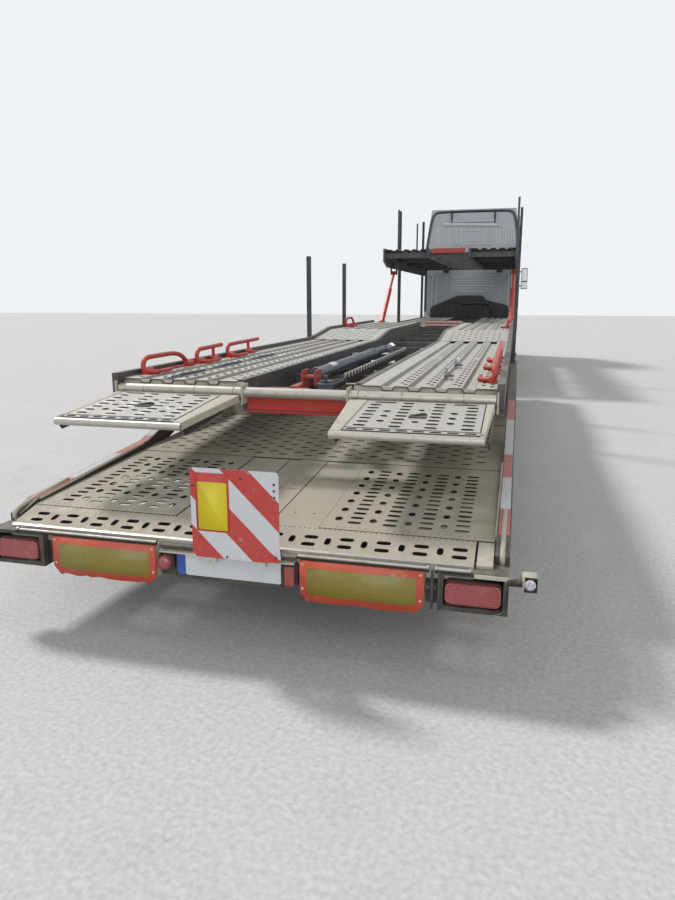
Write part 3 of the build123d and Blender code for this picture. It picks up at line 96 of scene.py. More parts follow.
def lamp(name, direction, strength, angle):
    """A distant lamp shining along direction; angle is how wide it looks, which softens its shadow."""
    data = bpy.data.lights.new(name, "SUN")
    data.energy = strength
    data.angle = math.radians(angle)
    made = bpy.data.objects.new(name, data)
    bpy.context.scene.collection.objects.link(made)
    length = math.sqrt(sum(v * v for v in direction))
    x, y, z = (v / length for v in direction)
    made.rotation_euler = (math.acos(-z), 0, math.atan2(y, x) - math.pi / 2)


def wire(tree, kind, values=None, **settings):
    """One shader node: settings are its properties, values fills an input with a number or links a socket to it."""
    made = tree.nodes.new(kind)
    for key, value in settings.items():
        setattr(made, key, value)
    for key, value in (values or {}).items():
        if isinstance(value, bpy.types.NodeSocket):
            tree.links.new(value, made.inputs[key])
        else:
            made.inputs[key].default_value = value
    return made


lamp("key_light", KEY_TO, KEY_STRENGTH, KEY_WIDTH)
lamp("fill_light", FILL_TO, FILL_STRENGTH, FILL_WIDTH)

world = bpy.data.worlds.new("studio")
bpy.context.scene.world = world
world.use_nodes = True
sky = world.node_tree
sky.nodes.clear()
ray = wire(sky, "ShaderNodeLightPath").outputs
mirror_or_glass = wire(sky, "ShaderNodeMath", {0: ray["Is Glossy Ray"], 1: ray["Is Transmission Ray"]},
                       operation="MAXIMUM")
seen = wire(sky, "ShaderNodeMath", {0: ray["Is Camera Ray"], 1: mirror_or_glass.outputs[0]}, operation="MAXIMUM")
sky_light = wire(sky, "ShaderNodeBackground", {"Color": (0.90, 0.95, 1.0, 1), "Strength": 0.48})
sky_seen = wire(sky, "ShaderNodeBackground", {"Color": (0.87, 0.89, 0.91, 1), "Strength": 1.0})
sky_mix = wire(sky, "ShaderNodeMixShader", {"Fac": seen.outputs[0], 1: sky_light.outputs[0], 2: sky_seen.outputs[0]})
wire(sky, "ShaderNodeOutputWorld", {"Surface": sky_mix.outputs[0]})
bpy.context.scene.view_settings.view_transform = "Standard"

# %% [markdown]
# Every new mesh goes through one function. It takes points and groups of faces as whole arrays, fills the
# mesh with foreach_set, and puts the object at the origin with its place in its vertices, as the frame's nodes are.

# %% Mesh, material and placement helpers
SIDES = ((1, "left"), (-1, "right"))
finish = {}


def joined(parts):
    """Points and face groups of several (points, groups) shapes as one shape."""
    points, groups, start = [], [], 0
    for shape_points, shape_groups in parts:
        shape_points = np.asarray(shape_points, float).reshape(-1, 3)
        points.append(shape_points)
        groups += [np.asarray(g, int) + start for g in shape_groups]
        start += len(shape_points)
    return np.concatenate(points), groups


def mesh_piece(name, shapes, kind, body, smooth=None, instead_of=None):
    """A mesh object riding on a body. shapes is one (points, face groups) shape or a list of them; kind names
    the finish; smooth is the angle in degrees under which neighbouring faces are shaded as one surface, or
    None for flat faces; instead_of is the frame's node that the piece replaces."""
    points, groups = joined(shapes if isinstance(shapes, list) else [shapes])
    groups = [g for g in groups if len(g)]
    loops = np.concatenate([g.ravel() for g in groups])
    totals = np.concatenate([np.full(len(g), g.shape[1]) for g in groups])
    starts = np.concatenate([[0], np.cumsum(totals)[:-1]])
    mesh = bpy.data.meshes.new(name)
    mesh.vertices.add(len(points))
    mesh.vertices.foreach_set("co", points.astype(np.float32).ravel())
    mesh.loops.add(len(loops))
    mesh.loops.foreach_set("vertex_index", loops.astype(np.int32))
    mesh.polygons.add(len(totals))
    mesh.polygons.foreach_set("loop_start", starts.astype(np.int32))
    mesh.update(calc_edges=True)
    mesh.validate()
    if smooth is not None:
        mesh.polygons.foreach_set("use_smooth", np.ones(len(mesh.polygons), bool))
        mesh.set_sharp_from_angle(angle=math.radians(smooth))
    mesh.materials.append(finish[kind])
    piece = bpy.data.objects.new(name, mesh)
    bpy.context.scene.collection.objects.link(piece)
    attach(piece, body)
    if instead_of:
        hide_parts(instead_of)


def dress(kind, nodes):
    """Puts a finish on every material slot of some of the frame's own nodes, named in one string."""
    for node in nodes.split():
        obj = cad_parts[node]
        for i in range(len(obj.material_slots)):
            obj.material_slots[i].material = finish[kind]


# %% [markdown]
# Nothing on a working transporter is one flat colour. The same few layers are on every surface: the coat
# itself, patches where it is scuffed, and pale dust that settles on whatever faces up. One recipe makes them
# all from Object coordinates, so the marks stay put in every view, and a short table says how much of each a
# finish has.

# %% One recipe for weathered surfaces
DUST = (0.47, 0.41, 0.32)


def weathered(name, clean, worn, rough=0.5, metallic=0.0, wear=0.5, dust=0.4, grain=18, bump=0.25, dusty=DUST,
              coat=0.0, pattern=None, facing_shade=0.0):
    """Principled surface: colour = mix(clean, worn) by a fine noise raised past the wear level, then mixed to
    dust where the surface faces up and a broad noise is high. Roughness rises and metal falls under the dust.
    A pattern is a function of the tree and the Object coordinates that gives a colour socket instead of the
    clean colour. The last setting is painted shade: it darkens faces that stand upright or look down, such as the
    walls and undersides of punched holes, so that the holes read as shaded."""
    material = bpy.data.materials.new(name)
    material.use_nodes = True
    tree = material.node_tree
    surface = tree.nodes["Principled BSDF"]
    place = wire(tree, "ShaderNodeTexCoord").outputs["Object"]
    broad = wire(tree, "ShaderNodeTexNoise", {"Vector": place, "Scale": 1.1, "Detail": 5.0, "Roughness": 0.6})
    fine = wire(tree, "ShaderNodeTexNoise", {"Vector": place, "Scale": grain, "Detail": 9.0, "Roughness": 0.68})
    grit = wire(tree, "ShaderNodeTexNoise", {"Vector": place, "Scale": grain * 14.0, "Detail": 2.0})
    scuffs = wire(tree, "ShaderNodeMapRange", {
        "Value": fine.outputs["Fac"], "From Min": 0.72 - 0.35 * wear, "From Max": 0.84 - 0.30 * wear})
    painted = pattern(tree, place) if pattern else (*clean, 1)
    coat_colour = wire(tree, "ShaderNodeMix", {
        "Factor": scuffs.outputs["Result"], "A": painted, "B": (*worn, 1)}, data_type="RGBA")
    facing = wire(tree, "ShaderNodeSeparateXYZ", {"Vector": wire(tree, "ShaderNodeNewGeometry").outputs["Normal"]})
    level = wire(tree, "ShaderNodeMapRange", {
        "Value": facing.outputs["Z"], "From Min": -0.3, "From Max": 0.85, "To Min": 0.12, "To Max": 1.0})
    drift = wire(tree, "ShaderNodeMath", {0: broad.outputs["Fac"], 1: fine.outputs["Fac"]}, operation="ADD")
    settled = wire(tree, "ShaderNodeMapRange", {
        "Value": drift.outputs[0], "From Min": 0.80, "From Max": 1.22, "To Max": dust})
    film = wire(tree, "ShaderNodeMath", {0: settled.outputs["Result"], 1: level.outputs["Result"]},
                operation="MULTIPLY")
    dusted = wire(tree, "ShaderNodeMix", {
        "Factor": film.outputs[0], "A": coat_colour.outputs["Result"], "B": (*dusty, 1)}, data_type="RGBA")
    speck_and_shade = wire(tree, "ShaderNodeMapRange", {
        "Value": grit.outputs["Fac"], "From Min": 0.3, "From Max": 0.7, "To Min": 0.86, "To Max": 1.10})
    # Painted shade: faces that stand upright or look down are darkened by the direction they face, so the walls of
    # punched holes read as shaded
    if facing_shade > 0:
        shade_by_facing = wire(tree, "ShaderNodeMapRange", {"Value": facing.outputs["Z"], "From Min": 0.15,
            "From Max": 0.75, "To Min": 1 - facing_shade, "To Max": 1.0})
        speck_and_shade = wire(tree, "ShaderNodeMath", {0: speck_and_shade.outputs["Result"], 1: shade_by_facing.outputs["Result"]},
                     operation="MULTIPLY")
    shade = wire(tree, "ShaderNodeVectorMath", {0: dusted.outputs["Result"], "Scale": speck_and_shade.outputs[0]},
                 operation="SCALE")
    tree.links.new(shade.outputs["Vector"], surface.inputs["Base Color"])
    gloss = wire(tree, "ShaderNodeMapRange", {
        "Value": drift.outputs[0], "From Min": 0.75, "From Max": 1.25, "To Min": rough * 0.85,
        "To Max": min(1.0, rough * 1.25 + 0.25 * dust)})
    tree.links.new(gloss.outputs["Result"], surface.inputs["Roughness"])
    if metallic > 0:
        bare = wire(tree, "ShaderNodeMapRange", {
            "Value": film.outputs[0], "From Max": 0.9, "To Min": metallic, "To Max": 0.0})
        tree.links.new(bare.outputs["Result"], surface.inputs["Metallic"])
    if coat > 0:
        surface.inputs["Coat Weight"].default_value = coat
        surface.inputs["Coat Roughness"].default_value = 0.12
    height = wire(tree, "ShaderNodeMath", {0: fine.outputs["Fac"], 1: grit.outputs["Fac"]}, operation="ADD")
    relief = wire(tree, "ShaderNodeBump", {"Height": height.outputs[0], "Strength": bump, "Distance": 0.0015})
    tree.links.new(relief.outputs["Normal"], surface.inputs["Normal"])
    return material


# %% The table of finishes
# name: clean colour, worn colour, roughness, metallic, wear, dust, grain, bump; punched sheets add painted shade on
# their upright and downward faces
FINISHES = {
    "zinc_deck": ((0.50, 0.49, 0.46), (0.34, 0.33, 0.31), 0.46, 0.45, 0.55, 0.55, 22, 0.30),
    "zinc_bright": ((0.52, 0.51, 0.48), (0.36, 0.35, 0.32), 0.42, 0.50, 0.50, 0.50, 24, 0.24),
    "dusty_plate": ((0.46, 0.42, 0.34), (0.33, 0.29, 0.22), 0.62, 0.20, 0.50, 0.95, 16, 0.40),
    "edge_steel": ((0.52, 0.50, 0.46), (0.36, 0.31, 0.24), 0.34, 0.70, 0.50, 0.35, 20, 0.25),
    "frame_dark": ((0.040, 0.043, 0.052), (0.085, 0.080, 0.075), 0.48, 0.0, 0.50, 0.40, 14, 0.25),
    "chassis_black": ((0.018, 0.019, 0.021), (0.055, 0.052, 0.048), 0.52, 0.0, 0.50, 0.45, 12, 0.30),
    "red_paint": ((0.50, 0.024, 0.014), (0.24, 0.032, 0.022), 0.40, 0.0, 0.48, 0.18, 20, 0.22),
    "faded_red": ((0.42, 0.050, 0.045), (0.25, 0.10, 0.08), 0.62, 0.0, 0.60, 0.45, 18, 0.25),
    "cab_white": ((0.66, 0.68, 0.70), (0.56, 0.58, 0.60), 0.26, 0.0, 0.30, 0.22, 9, 0.05),
    "roof_grey": ((0.50, 0.52, 0.54), (0.40, 0.42, 0.43), 0.40, 0.0, 0.40, 0.30, 10, 0.12),
    "plastic_dark": ((0.020, 0.021, 0.023), (0.045, 0.045, 0.046), 0.52, 0.0, 0.45, 0.16, 30, 0.22),
    "rubber": ((0.014, 0.014, 0.015), (0.035, 0.033, 0.030), 0.78, 0.0, 0.55, 0.55, 26, 0.45),
    "tyre_side": ((0.020, 0.020, 0.021), (0.045, 0.043, 0.040), 0.74, 0.0, 0.60, 0.30, 16, 0.35),
    "steel_wheel": ((0.40, 0.41, 0.42), (0.26, 0.25, 0.24), 0.42, 0.15, 0.55, 0.45, 18, 0.20),
    "tank_metal": ((0.62, 0.63, 0.64), (0.50, 0.50, 0.50), 0.28, 0.85, 0.35, 0.30, 12, 0.10),
    "cast_metal": ((0.20, 0.20, 0.19), (0.12, 0.10, 0.085), 0.60, 0.40, 0.55, 0.45, 24, 0.50),
    "cylinder_blue": ((0.028, 0.046, 0.095), (0.10, 0.10, 0.11), 0.40, 0.1, 0.50, 0.35, 14, 0.20),
    "chrome_rod": ((0.74, 0.75, 0.76), (0.60, 0.60, 0.60), 0.12, 1.0, 0.20, 0.10, 20, 0.05),
    "rusty_iron": ((0.17, 0.062, 0.030), (0.30, 0.15, 0.07), 0.80, 0.10, 0.70, 0.35, 28, 0.60),
    "seat_cloth": ((0.035, 0.036, 0.040), (0.055, 0.055, 0.058), 0.90, 0.0, 0.50, 0.10, 60, 0.40),
    "dash_grey": ((0.060, 0.060, 0.062), (0.080, 0.080, 0.080), 0.65, 0.0, 0.40, 0.10, 40, 0.25),
    "board_back": ((0.55, 0.55, 0.53), (0.38, 0.37, 0.35), 0.50, 0.2, 0.50, 0.35, 16, 0.20),
    "lid_beige": ((0.56, 0.52, 0.43), (0.40, 0.36, 0.29), 0.58, 0.10, 0.50, 0.60, 14, 0.25),
}
# Painted shade for the punched sheets: how much their upright and downward faces are darkened
FACING_SHADE = {"zinc_deck": 0.85, "zinc_bright": 0.92, "dusty_plate": 0.93}
for name, (clean, worn, *numbers) in FINISHES.items():
    finish[name] = weathered(name, clean, worn, *numbers, facing_shade=FACING_SHADE.get(name, 0.0))
print(len(finish), "weathered finishes")

# %% [markdown]
# The frame's own nodes have the right shape in many places. Those keep their mesh and only get a finish here.
# The ones whose look needs more than a finish, such as the punched decks, are replaced further down.

# %% Finishes for the frame's own nodes
NODE_FINISH = {
    "chassis_black": "truck_frame truck_axles tow_sockets knuckle_left knuckle_right trailer_frame side_rails "
                     "trailer_axles rear_bumper",
    "frame_dark": "bed_frame upper_deck_frame trailer_deck_frame",
    "cab_white": "cab_side_left cab_side_right cab_front door_left door_right",
    "plastic_dark": "mudguards cab_floor front_bumper mirrors",
    "red_paint": "strut_barrel_left strut_barrel_right strut_rod_left strut_rod_right",
    "zinc_bright": "lift_columns",
    "tank_metal": "fuel_tanks",
    "cast_metal": "engine_block",
    "seat_cloth": "cab_interior",
}
for kind, nodes in NODE_FINISH.items():
    dress(kind, nodes)

# %% [markdown]
# The floor is the studio's, plain and pale.

# %% Floor
floor_mesh = bpy.data.meshes.new("floor")
floor_mesh.from_pydata([(-60, -60, -0.001), (60, -60, -0.001), (60, 60, -0.001), (-60, 60, -0.001)], [],
                       [(0, 1, 2, 3)])
floor = bpy.data.objects.new("floor", floor_mesh)
bpy.context.scene.collection.objects.link(floor)
floor_mesh.materials.append(weathered("floor_pale", (0.62, 0.61, 0.59), (0.59, 0.58, 0.56), 0.9, dust=0.0,
    grain=3, bump=0.05))

# %% [markdown]
# Most parts of the vehicle are bars, tubes, folded sheets and punched plates. Each of these is one small
# builder: it returns points and faces as arrays, and a piece joins as many of them as it needs.

# %% Builders for bars, tubes and folded sheets
def outward(points, groups):
    """The same closed shape with its faces turned outward: the sum of the signed cone volumes must be positive."""
    points = np.asarray(points, float)
    volume = 0.0
    for group in groups:
        for k in range(1, group.shape[1] - 1):
            a, b, c = points[group[:, 0]], points[group[:, k]], points[group[:, k + 1]]
            volume += float(np.einsum("ij,ij->", a, np.cross(b, c)))
    return points, ([g[:, ::-1] for g in groups] if volume < 0 else groups)


def swept(rings, closed=False):
    """A closed skin through rings of matching points, an array (stations, points, 3), with a cap at each end."""
    rings = np.asarray(rings, float)
    stations, count = rings.shape[:2]
    index = np.arange(stations * count).reshape(stations, count)
    after = np.roll(index, -1, axis=0) if closed else index[1:]
    first = index if closed else index[:-1]
    sides = np.stack([first, np.roll(first, -1, axis=1), np.roll(after, -1, axis=1), after], -1).reshape(-1, 4)
    groups = [sides] if closed else [sides, index[:1, ::-1], index[-1:]]
    return outward(rings.reshape(-1, 3), groups)


def box_shape(x, y, z, cut=0.0):
    """A bar between two corners, its four lengthwise edges cut off by a small chamfer along its longest side."""
    low = np.minimum([x[0], y[0], z[0]], [x[1], y[1], z[1]])
    high = np.maximum([x[0], y[0], z[0]], [x[1], y[1], z[1]])
    axis = int(np.argmax(high - low))
    a, b = [k for k in range(3) if k != axis]
    cut = min(cut, 0.3 * min(high[a] - low[a], high[b] - low[b]))
    if cut > 0:
        corners = [(low[a] + cut, low[b]), (high[a] - cut, low[b]), (high[a], low[b] + cut), (high[a],
            high[b] - cut), (high[a] - cut, high[b]), (low[a] + cut, high[b]), (low[a], high[b] - cut),
            (low[a], low[b] + cut)]
    else:
        corners = [(low[a], low[b]), (high[a], low[b]), (high[a], high[b]), (low[a], high[b])]
    rings = np.zeros((2, len(corners), 3))
    rings[:, :, a] = [c[0] for c in corners]
    rings[:, :, b] = [c[1] for c in corners]
    rings[0, :, axis], rings[1, :, axis] = low[axis], high[axis]
    return swept(rings)


def run_along(section, stations):
    """A bar or folded sheet with a section of (x, z) points, carried along (y, z) stations."""
    section = np.asarray(section, float)
    stations = np.asarray(stations, float)
    rings = np.zeros((len(stations), len(section), 3))
    rings[:, :, 0] = section[:, 0]
    rings[:, :, 1] = stations[:, :1]
    rings[:, :, 2] = stations[:, 1:] + section[:, 1]
    return swept(rings)


def tube(path, radius, sides=12, closed=False):
    """A round bar along a path. Each ring stands across the mean of its two neighbouring directions; radius
    may be one number or one for each point."""
    path = np.asarray(path, float)
    apart = np.linalg.norm(np.roll(path, -1, axis=0) - path, axis=1) > 1e-6
    apart[-1] |= not closed
    path = path[apart]
    ahead_of = np.roll(path, -1, axis=0) - path
    behind = path - np.roll(path, 1, axis=0)
    if not closed:
        ahead_of[-1], behind[0] = behind[-1], ahead_of[0]
    along = ahead_of / np.linalg.norm(ahead_of, axis=1)[:, None] + behind / np.linalg.norm(behind, axis=1)[:, None]
    along /= np.linalg.norm(along, axis=1)[:, None]
    steady = np.array([0.0, 0.0, 1.0]) if abs(along[:, 2]).max() < 0.9 else np.array([0.31, 0.95, 0.0])
    if abs(along @ steady).max() > 0.97:
        steady = np.array([0.93, 0.11, 0.35])
    right = np.cross(along, steady)
    right /= np.linalg.norm(right, axis=1)[:, None]
    up = np.cross(right, along)
    turn = np.linspace(0, 2 * np.pi, sides, endpoint=False)
    spread = np.broadcast_to(np.asarray(radius, float), (len(path),))[:, None, None]
    ring = np.cos(turn)[None, :, None] * right[:, None] + np.sin(turn)[None, :, None] * up[:, None]
    return swept(path[:, None] + spread * ring, closed)


def rounded(path, times=3, closed=False):
    """A path with its corners cut (Chaikin): each round puts points at a quarter and three quarters of each span."""
    path = np.asarray(path, float)
    for _ in range(times):
        after = np.roll(path, -1, axis=0)
        if not closed:
            cut = np.stack([0.75 * path[:-1] + 0.25 * path[1:], 0.25 * path[:-1] + 0.75 * path[1:]], 1).reshape(-1, 3)
            path = np.concatenate([path[:1], cut[1:-1], path[-1:]])
        else:
            path = np.stack([0.75 * path + 0.25 * after, 0.25 * path + 0.75 * after], 1).reshape(-1, 3)
    return path


def turned(profile, centre, axis, sides=24):
    """A turned part: (distance along the axis, radius) points revolved about an axis through centre."""
    profile = np.asarray(profile, float)
    a, b = [k for k in range(3) if k != axis]
    turn = np.linspace(0, 2 * np.pi, sides, endpoint=False)
    rings = np.zeros((len(profile), sides, 3))
    rings[:, :, axis] = profile[:, :1]
    rings[:, :, a] = profile[:, 1:] * np.cos(turn)
    rings[:, :, b] = profile[:, 1:] * np.sin(turn)
    return swept(rings + np.asarray(centre, float))


def copies(shape, places):
    """One shape repeated at many places."""
    points, groups = shape
    places = np.asarray(places, float).reshape(-1, 3)
    moved = (places[:, None] + points[None]).reshape(-1, 3)
    steps = np.arange(len(places))[:, None, None] * len(points)
    return moved, [(g[None] + steps).reshape(-1, g.shape[1]) for g in groups]


def mirrored(shape):
    """The same shape on the other side of the vehicle, its faces turned back outward."""
    points, groups = shape
    return points * [-1, 1, 1], [g[:, ::-1] for g in groups]


def bolt(axis, radius=0.011, height=0.008):
    """A six-sided bolt head with a cut rim, standing on the origin along an axis."""
    return turned([(0, radius), (height * 0.7, radius), (height, radius * 0.8)], (0, 0, 0), axis, 6)


# %% [markdown]
# The decks are what the eye goes to: steel sheets punched with hundreds of slots. A slotted sheet is a grid
# of cells. In a cell with a hole, the cell's border is joined to a ring of points on the hole's rim. In a
# plain cell the border is one face. The underside repeats this a sheet's thickness lower, and every open
# edge, rim or border, gets a wall. So the sheet is closed, and light falls through its holes as it does in the yard.

# %% Builder for punched sheets
def punched(x_edges, y_edges, half_x, half_y, top, thick, steps=2, power=0.6, collar=0.0):
    """A closed punched sheet. Cells lie between x_edges and y_edges; half_x and half_y are each hole's half
    width and half length (0 leaves the cell plain). top(x, y) is the height of the surface. A rim is a
    superellipse: half * sign(c) * abs(c) ** power for the cosine and sine of the border point's angle. collar
    raises the rim."""
    x_edges, y_edges = np.asarray(x_edges, float), np.asarray(y_edges, float)
    side = np.arange(steps) / steps
    unit = np.concatenate([np.stack([side, 0 * side], 1), np.stack([0 * side + 1, side], 1),
                           np.stack([1 - side, 0 * side + 1], 1), np.stack([0 * side, 1 - side], 1)])
    low = np.stack(np.meshgrid(x_edges[:-1], y_edges[:-1], indexing="ij"), -1).reshape(-1, 1, 2)
    size = np.stack(np.meshgrid(np.diff(x_edges), np.diff(y_edges), indexing="ij"), -1).reshape(-1, 1, 2)
    cells = (len(x_edges) - 1, len(y_edges) - 1)
    half = np.stack([np.broadcast_to(half_x, cells), np.broadcast_to(half_y, cells)], -1).reshape(-1, 1, 2)
    flat, index = np.unique(np.round((low + unit * size).reshape(-1, 2), 6), axis=0, return_inverse=True)
    border = index.reshape(-1, len(unit))
    turn = np.arctan2(unit[:, 1] - 0.5, unit[:, 0] - 0.5)
    rim = np.stack([np.sign(np.cos(turn)) * abs(np.cos(turn)) ** power,
                    np.sign(np.sin(turn)) * abs(np.sin(turn)) ** power], 1)
    open_cell = half[:, 0, 0] > 0
    middle, reach = (low + size / 2)[open_cell], half[open_cell]
    layers = [(reach + 1.6 * collar, 0.0), (reach, collar)] if collar else [(reach, 0.0)]
    places, rises, loops = [flat], [np.zeros(len(flat))], [border[open_cell]]
    start = len(flat)
    for extent, rise in layers:
        ring = (middle + rim * extent).reshape(-1, 2)
        places.append(ring)
        rises.append(np.full(len(ring), rise))
        loops.append(start + np.arange(len(ring)).reshape(-1, len(unit)))
        start += len(ring)
    place, rise = np.concatenate(places), np.concatenate(rises)
    surface = np.column_stack([place, top(place[:, 0], place[:, 1]) + rise])
    faces = [np.stack([a, np.roll(a, -1, 1), np.roll(b, -1, 1), b], -1).reshape(-1, 4)
             for a, b in zip(loops, loops[1:])]
    groups = faces + ([border[~open_cell]] if (~open_cell).any() else [])
    edges = np.concatenate([np.stack([g, np.roll(g, -1, 1)], -1).reshape(-1, 2) for g in groups])
    total = len(surface)
    lone = edges[~np.isin(edges[:, 0] * total + edges[:, 1], edges[:, 1] * total + edges[:, 0])]
    walls = np.stack([lone[:, 1], lone[:, 0], lone[:, 0] + total, lone[:, 1] + total], -1)
    under = [g[:, ::-1] + total for g in groups]
    return np.concatenate([surface, surface - [0, 0, thick]]), groups + under + [walls]


def panel(side, x, d, half_x, half_y, top, thick=0.005, steps=2, power=0.6, collar=0.0):
    """A punched sheet on one side of the vehicle, its cells between x edges and edges in distances ahead."""
    x_edges, y_edges = np.sort(side * np.asarray(x, float)), np.sort(ahead(np.asarray(d, float)))
    return punched(x_edges, y_edges, half_x, half_y, top, thick, steps, power, collar)


def bar(x, d, z, cut=0.0):
    """A box_shape whose place along the vehicle is given in distances ahead."""
    return box_shape(x, (ahead(d[0]), ahead(d[1])), z, cut)


# %% [markdown]
# A wheel track is a corrugated steel plank: five flat ridges with a groove between each two. The ridges carry
# two staggered rows of oval slots, 120 mm apart, that let mud fall through. On the right track the innermost
# ridge is left plain. The rear metres stand close to the camera, so their slots get twice the rim points.

# %% Corrugated, slotted tracks
TRACK_IN, TRACK_OUT = 0.390, 1.165
RIDGES = 5
RIDGE_PITCH = (TRACK_OUT - TRACK_IN) / RIDGES
GROOVE, GROOVE_DEEP, SHOULDER = 0.031, 0.022, 0.008
SHEET = 0.006
SLOT_PITCH, SLOT_HALF_X, SLOT_HALF_Y = 0.120, 0.0125, 0.024


def track(side, line, plain=0, near=None):
    """One track along (ahead, height) stations: a punched ridge sheet each, and a folded groove between them.
    plain is how many inner ridges have no slots; up to near metres ahead the slots' rims have more points."""
    d, z = np.array(line, float).T
    level = lambda x, y: np.interp(BUMPER_Y - y, d, z)
    ends = [d[0], d[-1]] if near is None else [d[0], near, d[-1]]
    shapes = []
    for k in range(RIDGES):
        inner = TRACK_IN + k * RIDGE_PITCH + (GROOVE + SHOULDER if k else 0)
        outer = TRACK_IN + (k + 1) * RIDGE_PITCH - (GROOVE + SHOULDER if k < RIDGES - 1 else 0)
        x_edges = [inner, inner + SHOULDER, (inner + outer) / 2, outer - SHOULDER, outer]
        for start, stop in zip(ends, ends[1:]):
            rows = int(round((stop - start) / (SLOT_PITCH / 2)))
            slots = np.zeros((4, rows), bool)
            slots[1:3] = (np.arange(2)[:, None] + np.arange(rows)[None]) % 2 == 0
            slots[:, [0, -1]] = False
            slots &= k >= plain
            shapes.append(panel(side, x_edges, np.linspace(start, stop, rows + 1), slots * SLOT_HALF_X,
                                slots * SLOT_HALF_Y, level, SHEET, 4 if stop == near else 2, 0.72))
    for k in range(1, RIDGES):
        middle = TRACK_IN + k * RIDGE_PITCH
        rim, floor_x, under = GROOVE + SHOULDER, GROOVE - 0.004, -GROOVE_DEEP - SHEET
        groove = [(-rim, 0), (-floor_x, -GROOVE_DEEP), (floor_x, -GROOVE_DEEP), (rim, 0), (rim, -SHEET),
                  (GROOVE - 0.001, under), (0.001 - GROOVE, under), (-rim, -SHEET)]
        shapes.append(run_along([(side * (middle + x), h) for x, h in groove], np.stack([ahead(d), z], 1)))
    return joined(shapes)


TRAILER_TRACK = ((1.127, 1.158), (1.157, 1.160), (5.395, 1.160))
TRAILER_FRONT = ((6.250, 1.250), (9.180, 1.250))
BED_TRACK = ((9.930, 1.150), (16.230, 1.150))
UPPER_TRACK = ((10.140, 2.530), (16.150, 2.530))
NEAR_END = 3.077
# piece, its runs, body, replaced node
TRACKS = (("trailer_track_", (TRAILER_TRACK, TRAILER_FRONT), "trailer_deck", "trailer_deck_planks"),
          ("bed_track_", (BED_TRACK,), "truck", "bed_planks"),
          ("upper_track_", (UPPER_TRACK,), "upper_deck", "upper_deck_planks"))
for side, hand in SIDES:
    for name, runs, body, node in TRACKS:
        shapes = [track(side, run, 0 if side > 0 else 1, NEAR_END if run is TRAILER_TRACK else None) for run in runs]
        mesh_piece(name + hand, shapes, "zinc_deck", body, 30, node)

# %% [markdown]
# Between the low and the high part of the trailer's track lies a bridging plate that slopes up. It is wider
# punched than the ridges: rows of crosswise slots, with a plain crease at both ends where it is folded.

# %% Bridging plates
BRIDGE = ((5.395, 1.160), (5.480, 1.168), (6.250, 1.250))


def bridge_plate(side):
    """The sloping plate with crosswise slots in five columns."""
    d, z = np.array(BRIDGE).T
    slots = np.zeros((11, 11), bool)
    slots[1::2, 1:10:2] = True
    slots[2:10:2, 2:9:2] = True
    return panel(side, np.linspace(TRACK_IN, TRACK_OUT, 12), np.linspace(d[0], d[-1], 12), slots * 0.024,
                 slots * 0.014, lambda x, y: np.interp(BUMPER_Y - y, d, z) + 0.004, SHEET, 2, 0.72)


mesh_piece("bridging_plates", [bridge_plate(1), bridge_plate(-1)], "zinc_deck", "trailer_deck", 30)

# %% [markdown]
# The lower deck is the trailer's own floor. Its rear strip is a bright folded plate with pairs of crosswise
# slots and single upright ones. Behind a crease with a row of pin holes the two main plates begin. Their
# columns alternate from the outside in: fourteen rows of crosswise slots, then upright holes with a raised
# rim at twice the pitch. The places were read from the photograph with the solved camera.

# %% Lower deck: punched main plates and the rear strip
LOWER = np.array([(0.060, 0.530), (0.250, 0.575), (1.360, 0.633), (2.596, 0.690), (5.084, 0.690),
    (5.950, 0.560), (9.120, 0.560)])
PLATE_IN, PLATE_OUT = 0.378, 1.205
COLUMN_PITCH = 0.0865
COLUMNS = 1.070 - COLUMN_PITCH * np.arange(8)
ROW = 0.0655


def lower_top(x, y):
    """Height of the lower deck's surface."""
    return np.interp(BUMPER_Y - y, LOWER[:, 0], LOWER[:, 1])


# rows, pitch, half width, half length, rim points a side, rim power, raised rim: slots and upright holes
COLUMN_KINDS = ((14, ROW, 0.034, 0.0150, 4, 0.62, 0.0), (7, 2 * ROW, 0.0175, 0.026, 5, 0.85, 0.003))
CREASE, FIRST_ROW, LAST_ROW, PLATE_END = 0.262, 0.325, 1.242, 1.360
CELL = COLUMN_PITCH * np.array([-0.5, 0.5])


def main_plate(side):
    """One main plate, in strips: a column of slots and a column of raised upright holes by turns."""
    columns = COLUMNS - (0.020 if side < 0 else 0.0)
    shapes = []
    for k, centre in enumerate(columns):
        rows, pitch, half_x, half_y, steps, power, rim = COLUMN_KINDS[k % 2]
        shapes.append(panel(side, centre + CELL, FIRST_ROW + pitch * np.arange(rows + 1), half_x, half_y,
                            lower_top, 0.005, steps, power, rim))
    # x from, x to, ahead from, ahead to, number of pin holes, their radius
    for x0, x1, d0, d1, count, pin in ((PLATE_IN, PLATE_OUT, CREASE, FIRST_ROW, 24, 0.0035),
                                       (PLATE_IN, PLATE_OUT, LAST_ROW, PLATE_END, 2, 0.0),
                                       (columns[0] + CELL[1], PLATE_OUT, FIRST_ROW, LAST_ROW, 2, 0.0),
                                       (PLATE_IN, columns[-1] + CELL[0], FIRST_ROW, LAST_ROW, 2, 0.0)):
        shapes.append(panel(side, np.linspace(x0, x1, count + 1), (d0, d1), pin, pin, lower_top, 0.005, 2, 1.0))
    return joined(shapes)


